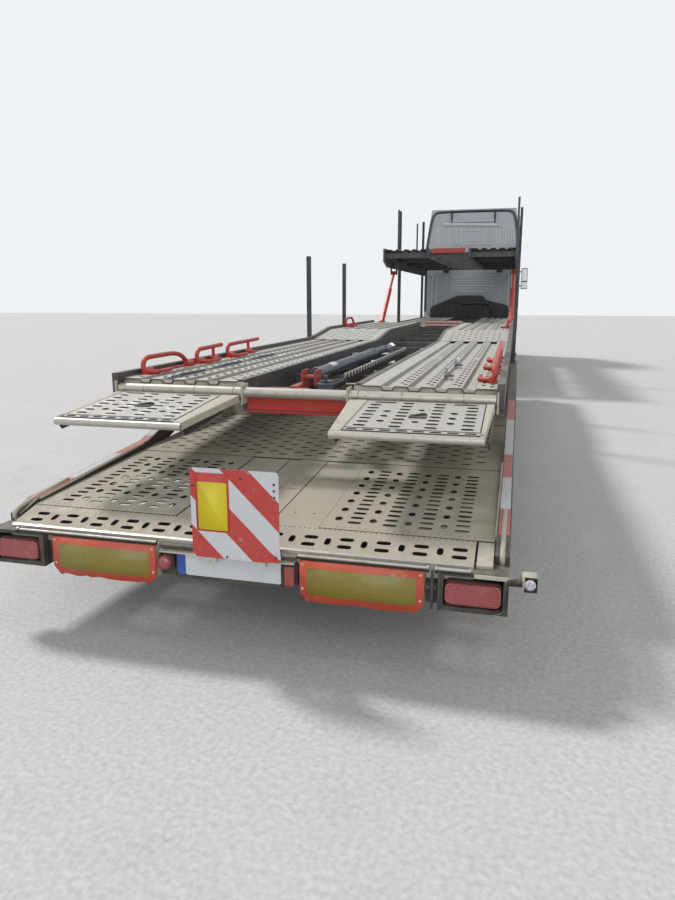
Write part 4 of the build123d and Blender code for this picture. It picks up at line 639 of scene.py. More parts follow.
def rear_strip(side):
    """Half of the folded rear plate: pairs of crosswise slots, one above the other, by turns with one upright
    slot."""
    end, first = (1.195, 0.137) if side > 0 else (1.125, 0.107)
    centres = first + COLUMN_PITCH * np.arange(12)
    low, high, thick = 0.087, 0.204, 0.006
    shapes = []
    for k, centre in enumerate(centres):
        if k % 2:
            shapes.append(panel(side, centre + CELL, (low, 0.1455, high), 0.034, 0.0145, lower_top, thick, 4, 0.62))
        else:
            shapes.append(panel(side, centre + CELL, (low, high), 0.0145, 0.027, lower_top, thick, 5, 0.7, 0.002))
    for x0, x1, d0, d1 in ((0.0, end, 0.070, low), (0.0, end, high, 0.240), (0.0, centres[0] + CELL[0], low, high),
                           (centres[-1] + CELL[1], end, low, high)):
        if x1 > x0:
            shapes.append(panel(side, (x0, x1), (d0, d1), 0.0, 0.0, lower_top, thick))
    shapes.append(panel(side, np.linspace(0.0, end, 46), (0.240, 0.254), 0.0036, 0.0032, lower_top, thick, 2, 1.0))
    return joined(shapes)


def fold(points, thick, x0, x1):
    """A bent sheet across the vehicle: its side line of (ahead, height) points, thick below it."""
    d, z = np.array(points, float).T
    low, high = min(x0, x1), max(x0, x1)
    side_line = np.concatenate([np.stack([ahead(d), z], 1), np.stack([ahead(d), z - thick], 1)[::-1]])
    rings = np.zeros((2, len(side_line), 3))
    rings[:, :, 1:] = side_line
    rings[0, :, 0], rings[1, :, 0] = low, high
    return swept(rings)


for side, hand in SIDES:
    mesh_piece("main_plate_" + hand, main_plate(side), "dusty_plate", "trailer", 30, "lower_deck")
mesh_piece("rear_strip", [rear_strip(1), rear_strip(-1)], "dusty_plate", "trailer", 30)
mesh_piece("rear_strip_edge", fold(((0.052, 0.470), (0.058, 0.528), (0.072, 0.533)), 0.006, -1.125, 1.195),
           "edge_steel", "trailer", 30)

# %% [markdown]
# The rest of the lower deck is mostly in the shadow of the deck above: a plain seamed plate in the middle,
# slotted plates that climb forward, and arched covers over the wheels, folded from one sheet each.

# %% Lower deck: middle plate, forward plates and wheel covers
def slotted_field(half_x, d0, d1, across, along):
    """A plain punched field as wide as 2 * half_x: every other cell of a grid has a crosswise slot."""
    checks = (np.arange(across)[:, None] + np.arange(along)[None]) % 2 == 1
    checks[[0, -1]] = False
    checks[:, [0, -1]] = False
    return panel(1, np.linspace(-half_x, half_x, across + 1), np.linspace(d0, d1, along + 1), checks * 0.032,
                 checks * 0.012, lower_top)


# half width, ahead from, ahead to, cells across, cells along
FORWARD = ((1.205, 1.372, 2.590, 28, 19), (0.636, 2.600, 5.080, 14, 30), (1.205, 5.092, 5.945, 20, 11),
           (1.205, 5.957, 9.115, 20, 31))
mesh_piece("forward_plates", [slotted_field(*row) for row in FORWARD], "dusty_plate", "trailer", 30)

# x from, x to, ahead from, ahead to
MIDDLE = ((-0.374, -0.128, 0.262, 1.360), (-0.122, 0.122, 0.262, 0.800), (-0.122, 0.122, 0.806, 1.360),
          (0.128, 0.374, 0.262, 1.360))
two_holes = np.array([0, 0.006, 0, 0.006, 0])[:, None] * np.array([[0, 0, 1]])
middle = [panel(1, np.linspace(x0, x1, 6), np.linspace(d0, d1, 4), two_holes, 0.006,
                lambda x, y: lower_top(x, y) - 0.004, 0.005, 2, 1.0) for x0, x1, d0, d1 in MIDDLE]
mesh_piece("middle_plates", middle, "dusty_plate", "trailer", 30)


def wall(side_line, x0, x1):
    """A flat sheet standing along the vehicle: its outline of (ahead, height) points between two x."""
    rings = np.zeros((2, len(side_line), 3))
    rings[:, :, 1:] = [(ahead(d), z) for d, z in side_line]
    rings[0, :, 0], rings[1, :, 0] = x0, x1
    return swept(rings)


WELL_LINE = ((2.600, 0.692), (2.736, 0.868), (4.944, 0.868), (5.080, 0.692))
covers = []
for side, hand in SIDES:
    covers.append(fold(WELL_LINE, 0.006, side * 0.634, side * 1.205))
    covers.append(fold(((2.590, 0.694), (2.622, 0.694)), 0.012, side * 0.634, side * 1.205))
    covers.append(wall(WELL_LINE, side * 0.628, side * 0.634))
    covers += [bar((side * 0.66, side * 1.19), (d - 0.02, d + 0.02), (0.868, 0.876), 0.003)
               for d in np.linspace(2.95, 4.75, 7)]
mesh_piece("wheel_covers", covers, "dusty_plate", "trailer", 30)

# %% [markdown]
# The lower deck's plates rest on folded cross-members, so that they don't sag under a wheel. The members show
# dark through the slots, and each follows the deck's height at its place.

# %% Lower deck: cross-members under the plates
members = []
for d in (0.30, 0.66, 1.02, 1.34, 1.75, 2.20):
    top = float(lower_top(0, ahead(d)))
    members.append(bar((-1.19, 1.19), (d - 0.03, d + 0.03), (top - 0.060, top - 0.007), 0.006))
mesh_piece("deck_cross_members", members, "chassis_black", "trailer", 30)

# %% [markdown]
# A ramp flap is a slotted tray that hinges on the rear tube and hangs a little. Two square side bars with
# black cheeks under them carry the plate; a round bar closes the tip. Slots with pressed-up rims alternate
# with round holes in seven columns, and a long slot lies in each corner next to the tube.

# %% Ramp flaps
HINGE_D, HINGE_Z, TUBE_R = 1.087, 1.100, 0.031
FLAP_ROOT = 1.042
FLAP_X = (0.405, 1.158)
FALL = math.tan(math.radians(5))
# The plate's cells: the first edge at the tip, the last at the root, and where the corner slots begin
TIP_EDGE, CORNER_EDGE, ROOT_EDGE = 0.468, 0.966, 1.018
# column: cell edges, half widths and half lengths by cell from the tip, rim power
SLOT_HALVES = (np.array([0.031]), np.array([0.0165]), 0.62)
FLAP_COLUMNS = {
    "eight": (np.linspace(TIP_EDGE, ROOT_EDGE, 9), *SLOT_HALVES),
    "seven": (np.linspace(TIP_EDGE, CORNER_EDGE, 8), *SLOT_HALVES),
    "round": ((TIP_EDGE, 0.545, 0.645, 0.745, 0.845, CORNER_EDGE), *[np.array([0, 1, 1, 1, 0]) * 0.021] * 2, 1.0),
    "centre": ((TIP_EDGE, 0.560, 0.640, 0.800, 0.880, ROOT_EDGE), *[np.array([0, 1, 0, 1, 0]) * 0.019] * 2, 1.0),
}
COLUMN_ORDER = ("seven", "round", "eight", "centre", "eight", "round", "seven")


def flap_z(d):
    """Height of the flap's surface d ahead."""
    return HINGE_Z - 0.014 - FALL * (FLAP_ROOT - d)


def flap_plate(side, inner, outer):
    """The slotted plate of one flap between two x, as a list of strips along it."""
    level = lambda x, y: flap_z(BUMPER_Y - y)
    columns = np.linspace(inner + 0.018, outer - 0.018, 8)
    # x from, x to, cell edges, half widths, half lengths, rim points a side, rim power
    strips = []
    for k, kind in enumerate(COLUMN_ORDER):
        ends, half_x, half_y, power = FLAP_COLUMNS[kind]
        strips.append((columns[k], columns[k + 1], ends, half_x[::-1], half_y[::-1], 4, power))
    for k in (0, 5):
        strips.append((columns[k], columns[k + 2], (CORNER_EDGE, ROOT_EDGE), 0.064, 0.015, 6, 0.55))
    for x0, x1 in ((inner, columns[0]), (columns[7], outer)):
        strips.append((x0, x1, (TIP_EDGE, ROOT_EDGE), 0.0, 0.0, 2, 1.0))
    plate = [panel(side, (x0, x1), ends, half_x, half_y, level, 0.005, steps, power, 0.0015)
             for x0, x1, ends, half_x, half_y, steps, power in strips]
    plate.append(panel(side, np.linspace(inner, outer, 9), (0.418, 0.458), 0.029, 0.012,
                       lambda x, y: level(x, y) - 0.001, 0.005, 4, 0.62))
    return plate


def flap_bars(side, inner, outer):
    """The tapering side bars, the root bar and three ribs under the plate."""
    shapes = []
    for root, tip in (((0.338, inner), (0.393, inner)), ((outer, 1.158), (outer, 1.134))):
        rings = np.zeros((2, 6, 3))
        for k, (d, (x0, x1)) in enumerate(((FLAP_ROOT, root), (0.400, tip))):
            rings[k] = [(side * x, ahead(d), flap_z(d) + z) for x, z in (
                (x0, -0.040), (x1, -0.040), (x1, -0.004), (x1 - 0.004, 0), (x0 + 0.004, 0), (x0, -0.004))]
        shapes.append(swept(rings))
    x_span = (side * (inner + 0.006), side * (outer - 0.006))
    shapes.append(bar(x_span, (1.040, 1.024), (flap_z(1.03) - 0.030, flap_z(1.03) - 0.001), 0.003))
    for d in (0.462, 0.700, 0.960):
        shapes.append(bar(x_span, (d - 0.014, d + 0.014), (flap_z(d) - 0.036, flap_z(d) - 0.008), 0.003))
    return shapes


def flap_cheeks(side):
    """The black cheeks under the side bars and the folding handle in the middle of the plate."""
    shapes = []
    line = [(d, flap_z(d) + h) for d, h in ((0.960, -0.036), (0.430, -0.036), (0.470, -0.086), (0.960, -0.086))]
    for x in (FLAP_X[0] + 0.003, FLAP_X[1] - 0.003):
        shapes.append(wall(line, side * x - 0.003, side * x + 0.003))
    mid = side * (FLAP_X[0] + FLAP_X[1]) / 2
    shapes.append(bar((mid - 0.044, mid + 0.044), (0.760, 0.680), (flap_z(0.72) - 0.004, flap_z(0.72) + 0.005), 0.003))
    # x from the middle, ahead, place for the height, height above the plate
    handle = [(mid + x, ahead(d), flap_z(at) + h) for x, d, at, h in (
        (0.038, 0.690, 0.69, 0.002), (0.026, 0.696, 0.69, 0.009), (-0.026, 0.740, 0.74, 0.009),
        (-0.038, 0.750, 0.75, 0.002))]
    return shapes + [tube(rounded(handle, 2), 0.007, 8)]


def flap_edge(side):
    """The bright round bar at the tip, and four bolt heads on the outer bar."""
    tip = [(side * x, ahead(0.396), flap_z(0.396) - 0.0225) for x in (0.393, 1.134)]
    heads = [(side * x, ahead(d), flap_z(d) + 0.001) for x in (FLAP_X[1] - 0.044, FLAP_X[1] - 0.032)
             for d in (0.420, 0.440)]
    return [tube(tip, 0.0205, 20), copies(bolt(2, 0.006, 0.004), heads)]


for side, hand in SIDES:
    inner, outer = FLAP_X[0] + 0.050, FLAP_X[1] - 0.050
    body = "flap_" + hand
    mesh_piece("flap_plate_" + hand, flap_plate(side, inner, outer), "zinc_bright", body, 30,
               "ramp_flap_" + hand)
    mesh_piece("flap_bars_" + hand, flap_bars(side, inner - 0.006, outer + 0.006), "lid_beige", body,
               30)
    mesh_piece("flap_cheeks_" + hand, flap_cheeks(side), "chassis_black", body, 30)
    mesh_piece("flap_edge_" + hand, flap_edge(side), "edge_steel", body, 40)

# %% [markdown]
# The rear tube is the hinge of both flaps: a bright steel tube made of sleeves, with a thin dark joint
# between each two, held by ears at the track's edges. The beam below it, between the flaps, is painted red.

# %% Rear tube, its ears and the red beam
JOINTS = (-1.165, -0.985, -0.640, -0.385, 0.385, 0.640, 0.985, 1.165)
hinge_line = (0, ahead(HINGE_D), HINGE_Z)
sleeves = [turned([(x0 + 0.002, TUBE_R - 0.005), (x0 + 0.003, TUBE_R), (x1 - 0.003, TUBE_R),
                   (x1 - 0.002, TUBE_R - 0.005)], hinge_line, 0, 28) for x0, x1 in zip(JOINTS, JOINTS[1:])]
sleeves.append(turned([(-1.160, 0.026), (1.160, 0.026)], hinge_line, 0, 20))
mesh_piece("rear_tube_sleeves", sleeves, "edge_steel", "trailer_deck", 40, "rear_tube")
ears = [bar((side * x - 0.005, side * x + 0.005), (1.150, 1.044), (1.030, 1.148), 0.004)
        for x in (0.325, 1.172) for side in (1, -1)]
ears += [bar((side * 0.345, side * 1.164), (1.150, 1.142), (1.066, 1.152), 0.002) for side in (1, -1)]
mesh_piece("tube_ears", ears, "lid_beige", "trailer_deck", 30)
beam = [bar((-0.318, 0.318), (1.172, 1.128), (0.985, 1.074), 0.006),
        bar((-0.318, 0.318), (1.128, 1.116), (0.972, 0.985), 0.003)]
mesh_piece("rear_beam", beam, "red_paint", "trailer_deck", 30)

# %% [markdown]
# The red hoops lie along the tracks' outermost ribs and hold a car's wheel. Some are closed; others are
# cranked bars with a free front end on a short leg. A bent tube has no sharp corner, so the path's corners
# are cut before the tube is drawn along it.

# %% Wheel hoops
# side, ahead, length, height, closed at the front end
HOOPS = ((1, 1.330, 0.640, 0.095, True), (1, 2.130, 0.430, 0.095, False), (1, 2.720, 0.680, 0.095, False),
         (-1, 1.400, 0.570, 0.095, True), (-1, 2.130, 0.430, 0.095, False), (-1, 2.720, 0.680, 0.095, False),
         (1, 7.000, 0.480, 0.110, True), (-1, 7.000, 0.480, 0.110, True))
HOOP_X, RIDGE_Z, FRONT_RIDGE_Z = 1.131, 1.175, 1.265
FREE_LEG = 0.32
hoop_tubes, hoop_feet = [], []
for side, near, length, height, closed in HOOPS:
    x, far = side * HOOP_X, near + length
    base = RIDGE_Z + (FRONT_RIDGE_Z - RIDGE_Z if near > 6.25 else 0)
    inward = x - side * 0.085
    leg = far - length * FREE_LEG
    # x, ahead, height above the ridge
    path = [(inward, near + 0.05, 0), (x + side * 0.008, near, 0), (x + side * 0.010, near + 0.02, height * 0.95),
            (x, near + 0.16, height)]
    path += [(x, far - 0.13, height), (x, far, 0)] if closed else [(x, far + 0.03, height * 1.08)]
    if not closed:
        hoop_tubes.append(tube([(x, ahead(leg), base), (x, ahead(leg), base + height)], 0.013, 12))
    hoop_tubes.append(tube(rounded([(x, ahead(d), base + z) for x, d, z in path], 3), 0.0165, 14))
    for end in (near + 0.04, far if closed else leg):
        foot = [(ahead(end) + along, radius) for along, radius in (
            (-0.055, 0.016), (-0.050, 0.022), (0.050, 0.022), (0.055, 0.016))]
        hoop_feet.append(turned(foot, (x - side * 0.010, 0, base + 0.004), 1, 12))
        hoop_feet.append(bar((x - 0.040, x + 0.016), (end - 0.07, end + 0.07), (base - 0.016, base - 0.008), 0.003))
    hoop_feet.append(bar((x - 0.012, x + 0.012), (near, far), (base - 0.012, base - 0.002), 0.003))
    hoop_feet.append(tube([(inward, ahead(near + d), base + 0.002) for d in (0.05, 0.22)], 0.012, 10))
mesh_piece("hoop_tubes", hoop_tubes, "red_paint", "trailer_deck", 40, "wheel_hoops")
mesh_piece("hoop_feet", hoop_feet, "red_paint", "trailer_deck", 40)
levers = []
for side, d in ((1, 1.240), (1, 1.890), (1, 2.640), (-1, 1.700), (-1, 2.450)):
    x = side * 0.845
    levers.append(tube(rounded([(x, ahead(d), 1.166), (x - side * 0.02, ahead(d + 0.04), 1.176),
                                (x - side * 0.05, ahead(d + 0.30), 1.176)], 2), 0.009, 8))
    levers.append(bar((x - 0.030, x + 0.030), (d - 0.02, d + 0.02), (1.160, 1.170), 0.003))
mesh_piece("hoop_levers", levers, "cylinder_blue", "trailer_deck", 40)

# %% [markdown]
# Striped boards, reflective plates, tape and lamp lenses have colours laid out in bands. A band is arithmetic
# on Object coordinates: the place along one direction, its remainder after a pitch, and a comparison.

# %% Patterned materials
def bands(tree, place, axes, start, pitch, share, first, second):
    """Two colours in bands: first where the remainder of (place . axes - start) / pitch is under the share."""
    along = wire(tree, "ShaderNodeVectorMath", {0: place, 1: axes}, operation="DOT_PRODUCT")
    shifted = wire(tree, "ShaderNodeMath", {0: along.outputs["Value"], 1: start}, operation="SUBTRACT")
    rest = wire(tree, "ShaderNodeMath", {0: shifted.outputs[0], 1: pitch}, operation="FLOORED_MODULO")
    chosen = wire(tree, "ShaderNodeMath", {0: rest.outputs[0], 1: pitch * share}, operation="LESS_THAN")
    return wire(tree, "ShaderNodeMix", {"Factor": chosen.outputs[0], "A": (*second, 1), "B": (*first, 1)},
                data_type="RGBA").outputs["Result"]


def cells(tree, place, scale, dark, light):
    """The fine honeycomb of a reflective sheet: each cell a little darker at its border."""
    comb = wire(tree, "ShaderNodeTexVoronoi", {"Vector": place, "Scale": scale}, feature="DISTANCE_TO_EDGE")
    edge = wire(tree, "ShaderNodeMapRange", {"Value": comb.outputs["Distance"], "From Max": 0.12})
    return wire(tree, "ShaderNodeMix", {"Factor": edge.outputs["Result"], "A": (*dark, 1), "B": (*light, 1)},
                data_type="RGBA").outputs["Result"]


WHITE, RED = (0.66, 0.67, 0.72), (0.54, 0.035, 0.030)


def banded(*settings):
    """A pattern of bands for weathered, its settings those of bands."""
    return lambda tree, place: bands(tree, place, *settings)


def honeycomb(*settings):
    """A pattern of cells for weathered, its settings those of cells."""
    return lambda tree, place: cells(tree, place, *settings)


# name: clean colour, worn colour, roughness, metallic, wear, dust, grain, bump, coat, pattern
PATTERNED = {
    "board_stripes": (WHITE, (0.50, 0.42, 0.40), 0.42, 0, 0.26, 0.20, 26, 0.10, 0.2,
                      banded((-1, 0, 1), 0.789, 0.2733, 0.5, WHITE, RED)),
    "rail_tape": (WHITE, (0.45, 0.36, 0.33), 0.40, 0, 0.40, 0.35, 22, 0.10, 0.2,
                  banded((0, 1, 0), 0.1, 0.90, 0.55, (0.60, 0.60, 0.60), (0.50, 0.07, 0.06))),
    "plate_red": (RED, (0.62, 0.30, 0.24), 0.40, 0, 0.42, 0.10, 20, 0.12, 0.2,
                  honeycomb(300, (0.46, 0.04, 0.02), (0.66, 0.095, 0.045))),
    "plate_olive": ((0.25, 0.20, 0.02), (0.33, 0.21, 0.03), 0.34, 0, 0.34, 0.10, 14, 0.08, 0.3,
                    honeycomb(240, (0.15, 0.12, 0.012), (0.29, 0.235, 0.02))),
    "sticker_yellow": ((0.82, 0.66, 0.02), (0.74, 0.60, 0.10), 0.38, 0, 0.2, 0.1, 30, 0.05, 0, None),
    "sticker_red": ((0.60, 0.05, 0.04), (0.50, 0.12, 0.10), 0.38, 0, 0.2, 0.1, 30, 0.05, 0, None),
    "number_white": ((0.66, 0.69, 0.72), (0.50, 0.50, 0.48), 0.34, 0, 0.35, 0.3, 18, 0.06, 0, None),
    "number_blue": ((0.015, 0.075, 0.38), (0.08, 0.14, 0.35), 0.34, 0, 0.35, 0.2, 18, 0.06, 0, None),
    "lens_red": (RED, (0.42, 0.10, 0.09), 0.22, 0, 0.42, 0.22, 12, 0.08, 0.8,
                 banded((0, 0, 1), 0.0, 0.013, 0.78, (0.36, 0.040, 0.042), (0.24, 0.018, 0.020))),
    "lens_amber": (RED, (0.55, 0.20, 0.03), 0.22, 0, 0.30, 0.12, 12, 0.06, 0.8,
                   honeycomb(130, (0.55, 0.16, 0.01), (0.80, 0.30, 0.02))),
    "lens_clear": (WHITE, (0.55, 0.55, 0.52), 0.10, 0, 0.25, 0.10, 12, 0.05, 1.0,
                   banded((1, 0, 0.3), 0.0, 0.022, 0.8, (0.60, 0.63, 0.66), (0.40, 0.43, 0.46))),
    "bar_stripes": (WHITE, (0.40, 0.20, 0.18), 0.45, 0, 0.42, 0.25, 22, 0.12, 0,
                    banded((0, 0, 1), 1.180, 0.050, 0.5, (0.56, 0.50, 0.46), (0.34, 0.050, 0.040))),
}
for name, (*numbers, coat, pattern) in PATTERNED.items():
    finish[name] = weathered(name, *numbers, coat=coat, pattern=pattern)


def glass(name, tint, dirt):
    """Window glass: a tinted, see-through Principled surface whose roughness rises in soft dusty patches."""
    material = bpy.data.materials.new(name)
    material.use_nodes = True
    tree = material.node_tree
    surface = tree.nodes["Principled BSDF"]
    place = wire(tree, "ShaderNodeTexCoord").outputs["Object"]
    haze = wire(tree, "ShaderNodeTexNoise", {"Vector": place, "Scale": 2.4, "Detail": 8.0, "Roughness": 0.62})
    rough = wire(tree, "ShaderNodeMapRange", {
        "Value": haze.outputs["Fac"], "From Min": 0.35, "From Max": 0.8, "To Min": 0.02, "To Max": dirt})
    shade = wire(tree, "ShaderNodeMix", {"Factor": haze.outputs["Fac"], "A": (*tint, 1),
        "B": tuple(c * 0.8 for c in tint) + (1,)}, data_type="RGBA")
    tree.links.new(shade.outputs["Result"], surface.inputs["Base Color"])
    tree.links.new(rough.outputs["Result"], surface.inputs["Roughness"])
    surface.inputs["Transmission Weight"].default_value = 0.85
    surface.inputs["IOR"].default_value = 1.12
    return material


finish["window_glass"] = glass("window_glass", (0.42, 0.50, 0.50), 0.16)
dress("window_glass", "windscreen door_glass_left door_glass_right")

# %% [markdown]
# The two long-vehicle plates are folded sheets with a reflective film: an olive-yellow field in an orange-red
# border. Years of ramps have chewed their lower edges, so that edge of the outline is drawn with a seeded jitter.

# %% Reflective plates
def prism(outline, d_near, d_far, shrink=0.0):
    """A flat plate: an outline of (x, z) points between two places along the vehicle; shrink draws in its
    rear face."""
    outline = np.asarray(outline, float)
    middle = (outline.max(0) + outline.min(0)) / 2
    half = (outline.max(0) - outline.min(0)) / 2
    rings = np.zeros((2, len(outline), 3))
    rings[:, :, 0], rings[:, :, 2] = outline[:, 0], outline[:, 1]
    rings[0, :, ::2] = middle + (outline - middle) * (1 - shrink / half)
    rings[0, :, 1], rings[1, :, 1] = ahead(d_near), ahead(d_far)
    return swept(rings)


PLATE = ((0.358, 0.507), (0.923, 0.507), (0.923, 0.350), (0.885, 0.307), (0.396, 0.307), (0.358, 0.350))
FIELD = ((0.392, 0.474), (0.889, 0.474), (0.889, 0.358), (0.872, 0.342), (0.409, 0.342), (0.392, 0.358))
chew = np.random.default_rng(7)


def chewed(side):
    """The plate's outline with its lower edge dented by up to a few millimetres."""
    low = np.linspace(PLATE[3][0], PLATE[4][0], 18)
    dents = chew.uniform(0, 1, 18) ** 2 * 0.011
    dents[[0, -1]] = 0
    points = list(PLATE[:3]) + list(zip(low, PLATE[3][1] + dents)) + [PLATE[5]]
    return [(side * x, z) for x, z in points]


borders, fields, backs, rivets = [], [], [], []
for side, hand in SIDES:
    borders.append(prism(chewed(side), 0.003, 0.014, 0.002))
    fields.append(prism([(side * x, z) for x, z in FIELD], 0.001, 0.006, 0.002))
    back_line = PLATE[:3] + ((0.888, 0.318), (0.393, 0.318)) + PLATE[5:]
    backs.append(prism([(side * x, z) for x, z in back_line], 0.014, 0.060))
    places = [(side * x, ahead(0.003), z) for x in (0.374, 0.906) for z in (0.490, 0.372)]
    rivets.append(copies(bolt(1, 0.007, 0.0025), places))
mesh_piece("plate_borders", borders, "plate_red", "trailer", instead_of="rear_plates")
mesh_piece("plate_fields", fields, "plate_olive", "trailer")
mesh_piece("plate_backs", backs + rivets, "lid_beige", "trailer", 30)

# %% [markdown]
# The rear lamps are long moulded lenses with rounded corners and a raised rim, screwed into a dark seat. A
# small round lamp and a narrow one stand beside the number plate.

# %% Rear lamps
def rounded_box(x, z, radius, corner=5):
    """A rectangle's outline with round corners, as (x, z) points turning one way."""
    turn = np.linspace(0, np.pi / 2, corner)
    points = []
    for k, (cx, cz) in enumerate(((x[1] - radius, z[1] - radius), (x[0] + radius, z[1] - radius),
                                  (x[0] + radius, z[0] + radius), (x[1] - radius, z[0] + radius))):
        points += [(cx + radius * math.cos(k * math.pi / 2 + t), cz + radius * math.sin(k * math.pi / 2 + t))
                   for t in turn]
    return points


def lens_shape(outline, steps):
    """A lens: the outline drawn in by steps of (distance ahead, share of its size) rings, closed at both ends."""
    outline = np.asarray(outline, float)
    middle = (outline.max(0) + outline.min(0)) / 2
    rings = np.zeros((len(steps), len(outline), 3))
    for k, (d, share) in enumerate(steps):
        rings[k, :, ::2] = middle + (outline - middle) * share
        rings[k, :, 1] = ahead(d)
    return swept(rings)


LENS_STEPS = ((0.050, 0.985), (0.012, 1.0), (0.004, 0.985), (0.002, 0.95), (0.002, 0.90), (0.006, 0.87), (0.005, 0.4))
ROUND_STEPS = ((0.060, 1.0), (0.022, 1.0), (0.012, 0.90), (0.004, 0.66), (0.001, 0.30))
lenses, seats, screws = [], [], []
for side, hand in SIDES:
    x = sorted((side * 1.0095, side * 1.2455))
    lenses.append(lens_shape(rounded_box(x, (0.371, 0.469), 0.024), LENS_STEPS))
    seats.append(prism(rounded_box((x[0] - 0.004, x[1] + 0.004), (0.366, 0.474), 0.027), 0.030, 0.100))
    screws.append(copies(bolt(1, 0.005, 0.003), [(side * x, ahead(0.003), z)
                                                 for x, z in ((1.225, 0.460), (1.030, 0.380))]))
turn = np.linspace(0, 2 * np.pi, 24, False)
lenses.append(lens_shape([(0.320 + 0.036 * math.cos(t), 0.420 + 0.036 * math.sin(t)) for t in turn], ROUND_STEPS))
lenses.append(lens_shape(rounded_box((-0.335, -0.285), (0.372, 0.468), 0.010), LENS_STEPS))
seats.append(prism(rounded_box((0.278, 0.362), (0.376, 0.464), 0.03), 0.040, 0.080))
seats.append(prism(rounded_box((-0.345, -0.276), (0.364, 0.476), 0.012), 0.030, 0.080))
mesh_piece("rear_lenses", lenses, "lens_red", "trailer", 40, "rear_lamps")
mesh_piece("lamp_seats", seats, "plastic_dark", "trailer", 30)
mesh_piece("lamp_screws", screws, "zinc_bright", "trailer")

# %% [markdown]
# The number plate is blank: a white pressed plate with a blue band at its left, in a holder under a beige
# lid. Silver tubes run along the top of the reflective plates, two dark bars stand beside the right lamp.

# %% Number plate, lid, guard tubes and brackets
TUBE_Z = 0.519
mesh_piece("number_plate", prism(rounded_box((-0.260, 0.2175), (0.364, 0.472), 0.008), 0.036, 0.044),
           "number_white", "trailer", 30)
mesh_piece("number_band", prism(rounded_box((0.2175, 0.260), (0.364, 0.472), 0.006), 0.0355, 0.044),
           "number_blue", "trailer", 30)
holder = [prism(rounded_box((-0.268, 0.268), (0.345, 0.479), 0.010), 0.044, 0.056),
          prism(rounded_box((-0.266, 0.266), (0.346, 0.361), 0.004), 0.037, 0.046)]
holder += [bar((x - 0.006, x + 0.006), (0.012, 0.000), (0.340, 0.520), 0.002) for x in (-0.955, -0.985)]
holder.append(bar((-0.975, -0.925), (0.060, 0.012), (0.425, 0.440), 0.002))
mesh_piece("plate_holder", holder, "chassis_black", "trailer", 30)
lid = [fold(((0.000, 0.484), (0.060, 0.497), (0.110, 0.500)), 0.004, -0.335, 0.335),
       bar((-1.275, -1.130), (0.012, 0.002), (0.498, 0.516), 0.003)]
mesh_piece("plate_lid", lid, "lid_beige", "trailer", 30)
# x from, x to, radius
guards = [tube([(x0, ahead(0.014), TUBE_Z), (x1, ahead(0.014), TUBE_Z)], radius, 16)
          for x0, x1, radius in ((1.120, 0.352, 0.0105), (-0.352, -0.935, 0.0105), (-0.972, -1.112, 0.0125))]
wire_line = [(x, ahead(-0.002), z) for x, z in ((-1.130, 0.341), (-1.271, 0.341), (-1.271, 0.512))]
guards.append(tube(rounded(wire_line, 2), 0.0028, 8))
guards += [turned([(x - 0.006, 0.015), (x + 0.006, 0.015)], (0, ahead(0.014), TUBE_Z), 0, 16)
           for x in (-1.112, -0.972, -0.935, 1.120)]
guards.append(bar((-1.392, -1.338), (0.074, 0.068), (0.432, 0.500), 0.004))
guards.append(copies(bolt(1, 0.014, 0.010), [(-1.365, ahead(0.068), 0.462)]))
mesh_piece("guard_tubes", guards, "zinc_bright", "trailer", 40)

# %% [markdown]
# The warning board is a thin sheet on a post, striped red and white, with a sticker left blank: a yellow
# field in a red border. Its lower right corner has been bent back against something.

# %% Warning board
BOARD = (-0.285, 0.135, 0.496, 0.916)
BOARD_SIZE, BOARD_D, SHEET_THICK = 0.420, -0.0425, 0.003
GRID = 22
CORNER_CUT, BENT_REACH = 0.004, 0.075
grid_x, grid_z = np.meshgrid(np.linspace(BOARD[0], BOARD[1], GRID), np.linspace(BOARD[2], BOARD[3], GRID),
                             indexing="ij")
from_corner = np.hypot(grid_x - BOARD[0], grid_z - BOARD[2])
toward = np.clip(BENT_REACH - from_corner, 0, None) / BENT_REACH
bend = 0.020 * toward ** 1.5 + 0.0010 * np.sin(grid_x * 19 + 1) * np.cos(grid_z * 15)
sheet = np.stack([grid_x, ahead(BOARD_D + bend), grid_z], -1)
for i, j, move in ((0, 0, (1, 1)), (0, -1, (1, -1)), (-1, 0, (-1, 1)), (-1, -1, (-1, -1))):
    sheet[i, j, [0, 2]] += np.array(move) * CORNER_CUT
back = sheet - [0, SHEET_THICK, 0]
index = np.arange(GRID * GRID).reshape(GRID, GRID)
quads = np.stack([index[:-1, :-1], index[1:, :-1], index[1:, 1:], index[:-1, 1:]], -1).reshape(-1, 4)
rim = np.concatenate([index[:, 0], index[-1, 1:], index[-2::-1, -1], index[0, -2:0:-1]])
rim_quads = np.stack([rim, np.roll(rim, -1), np.roll(rim, -1) + GRID * GRID, rim + GRID * GRID], -1)
board = outward(np.concatenate([sheet.reshape(-1, 3), back.reshape(-1, 3)]),
                [quads, quads[:, ::-1] + GRID * GRID, rim_quads[:, ::-1]])
mesh_piece("board_sheet", board, "board_stripes", "trailer", 40, "warning_board")


def on_board(from_left, from_top):
    """The (x, z) of a place given as shares of the board's width and height."""
    return BOARD[1] - BOARD_SIZE * from_left, BOARD[3] - BOARD_SIZE * from_top


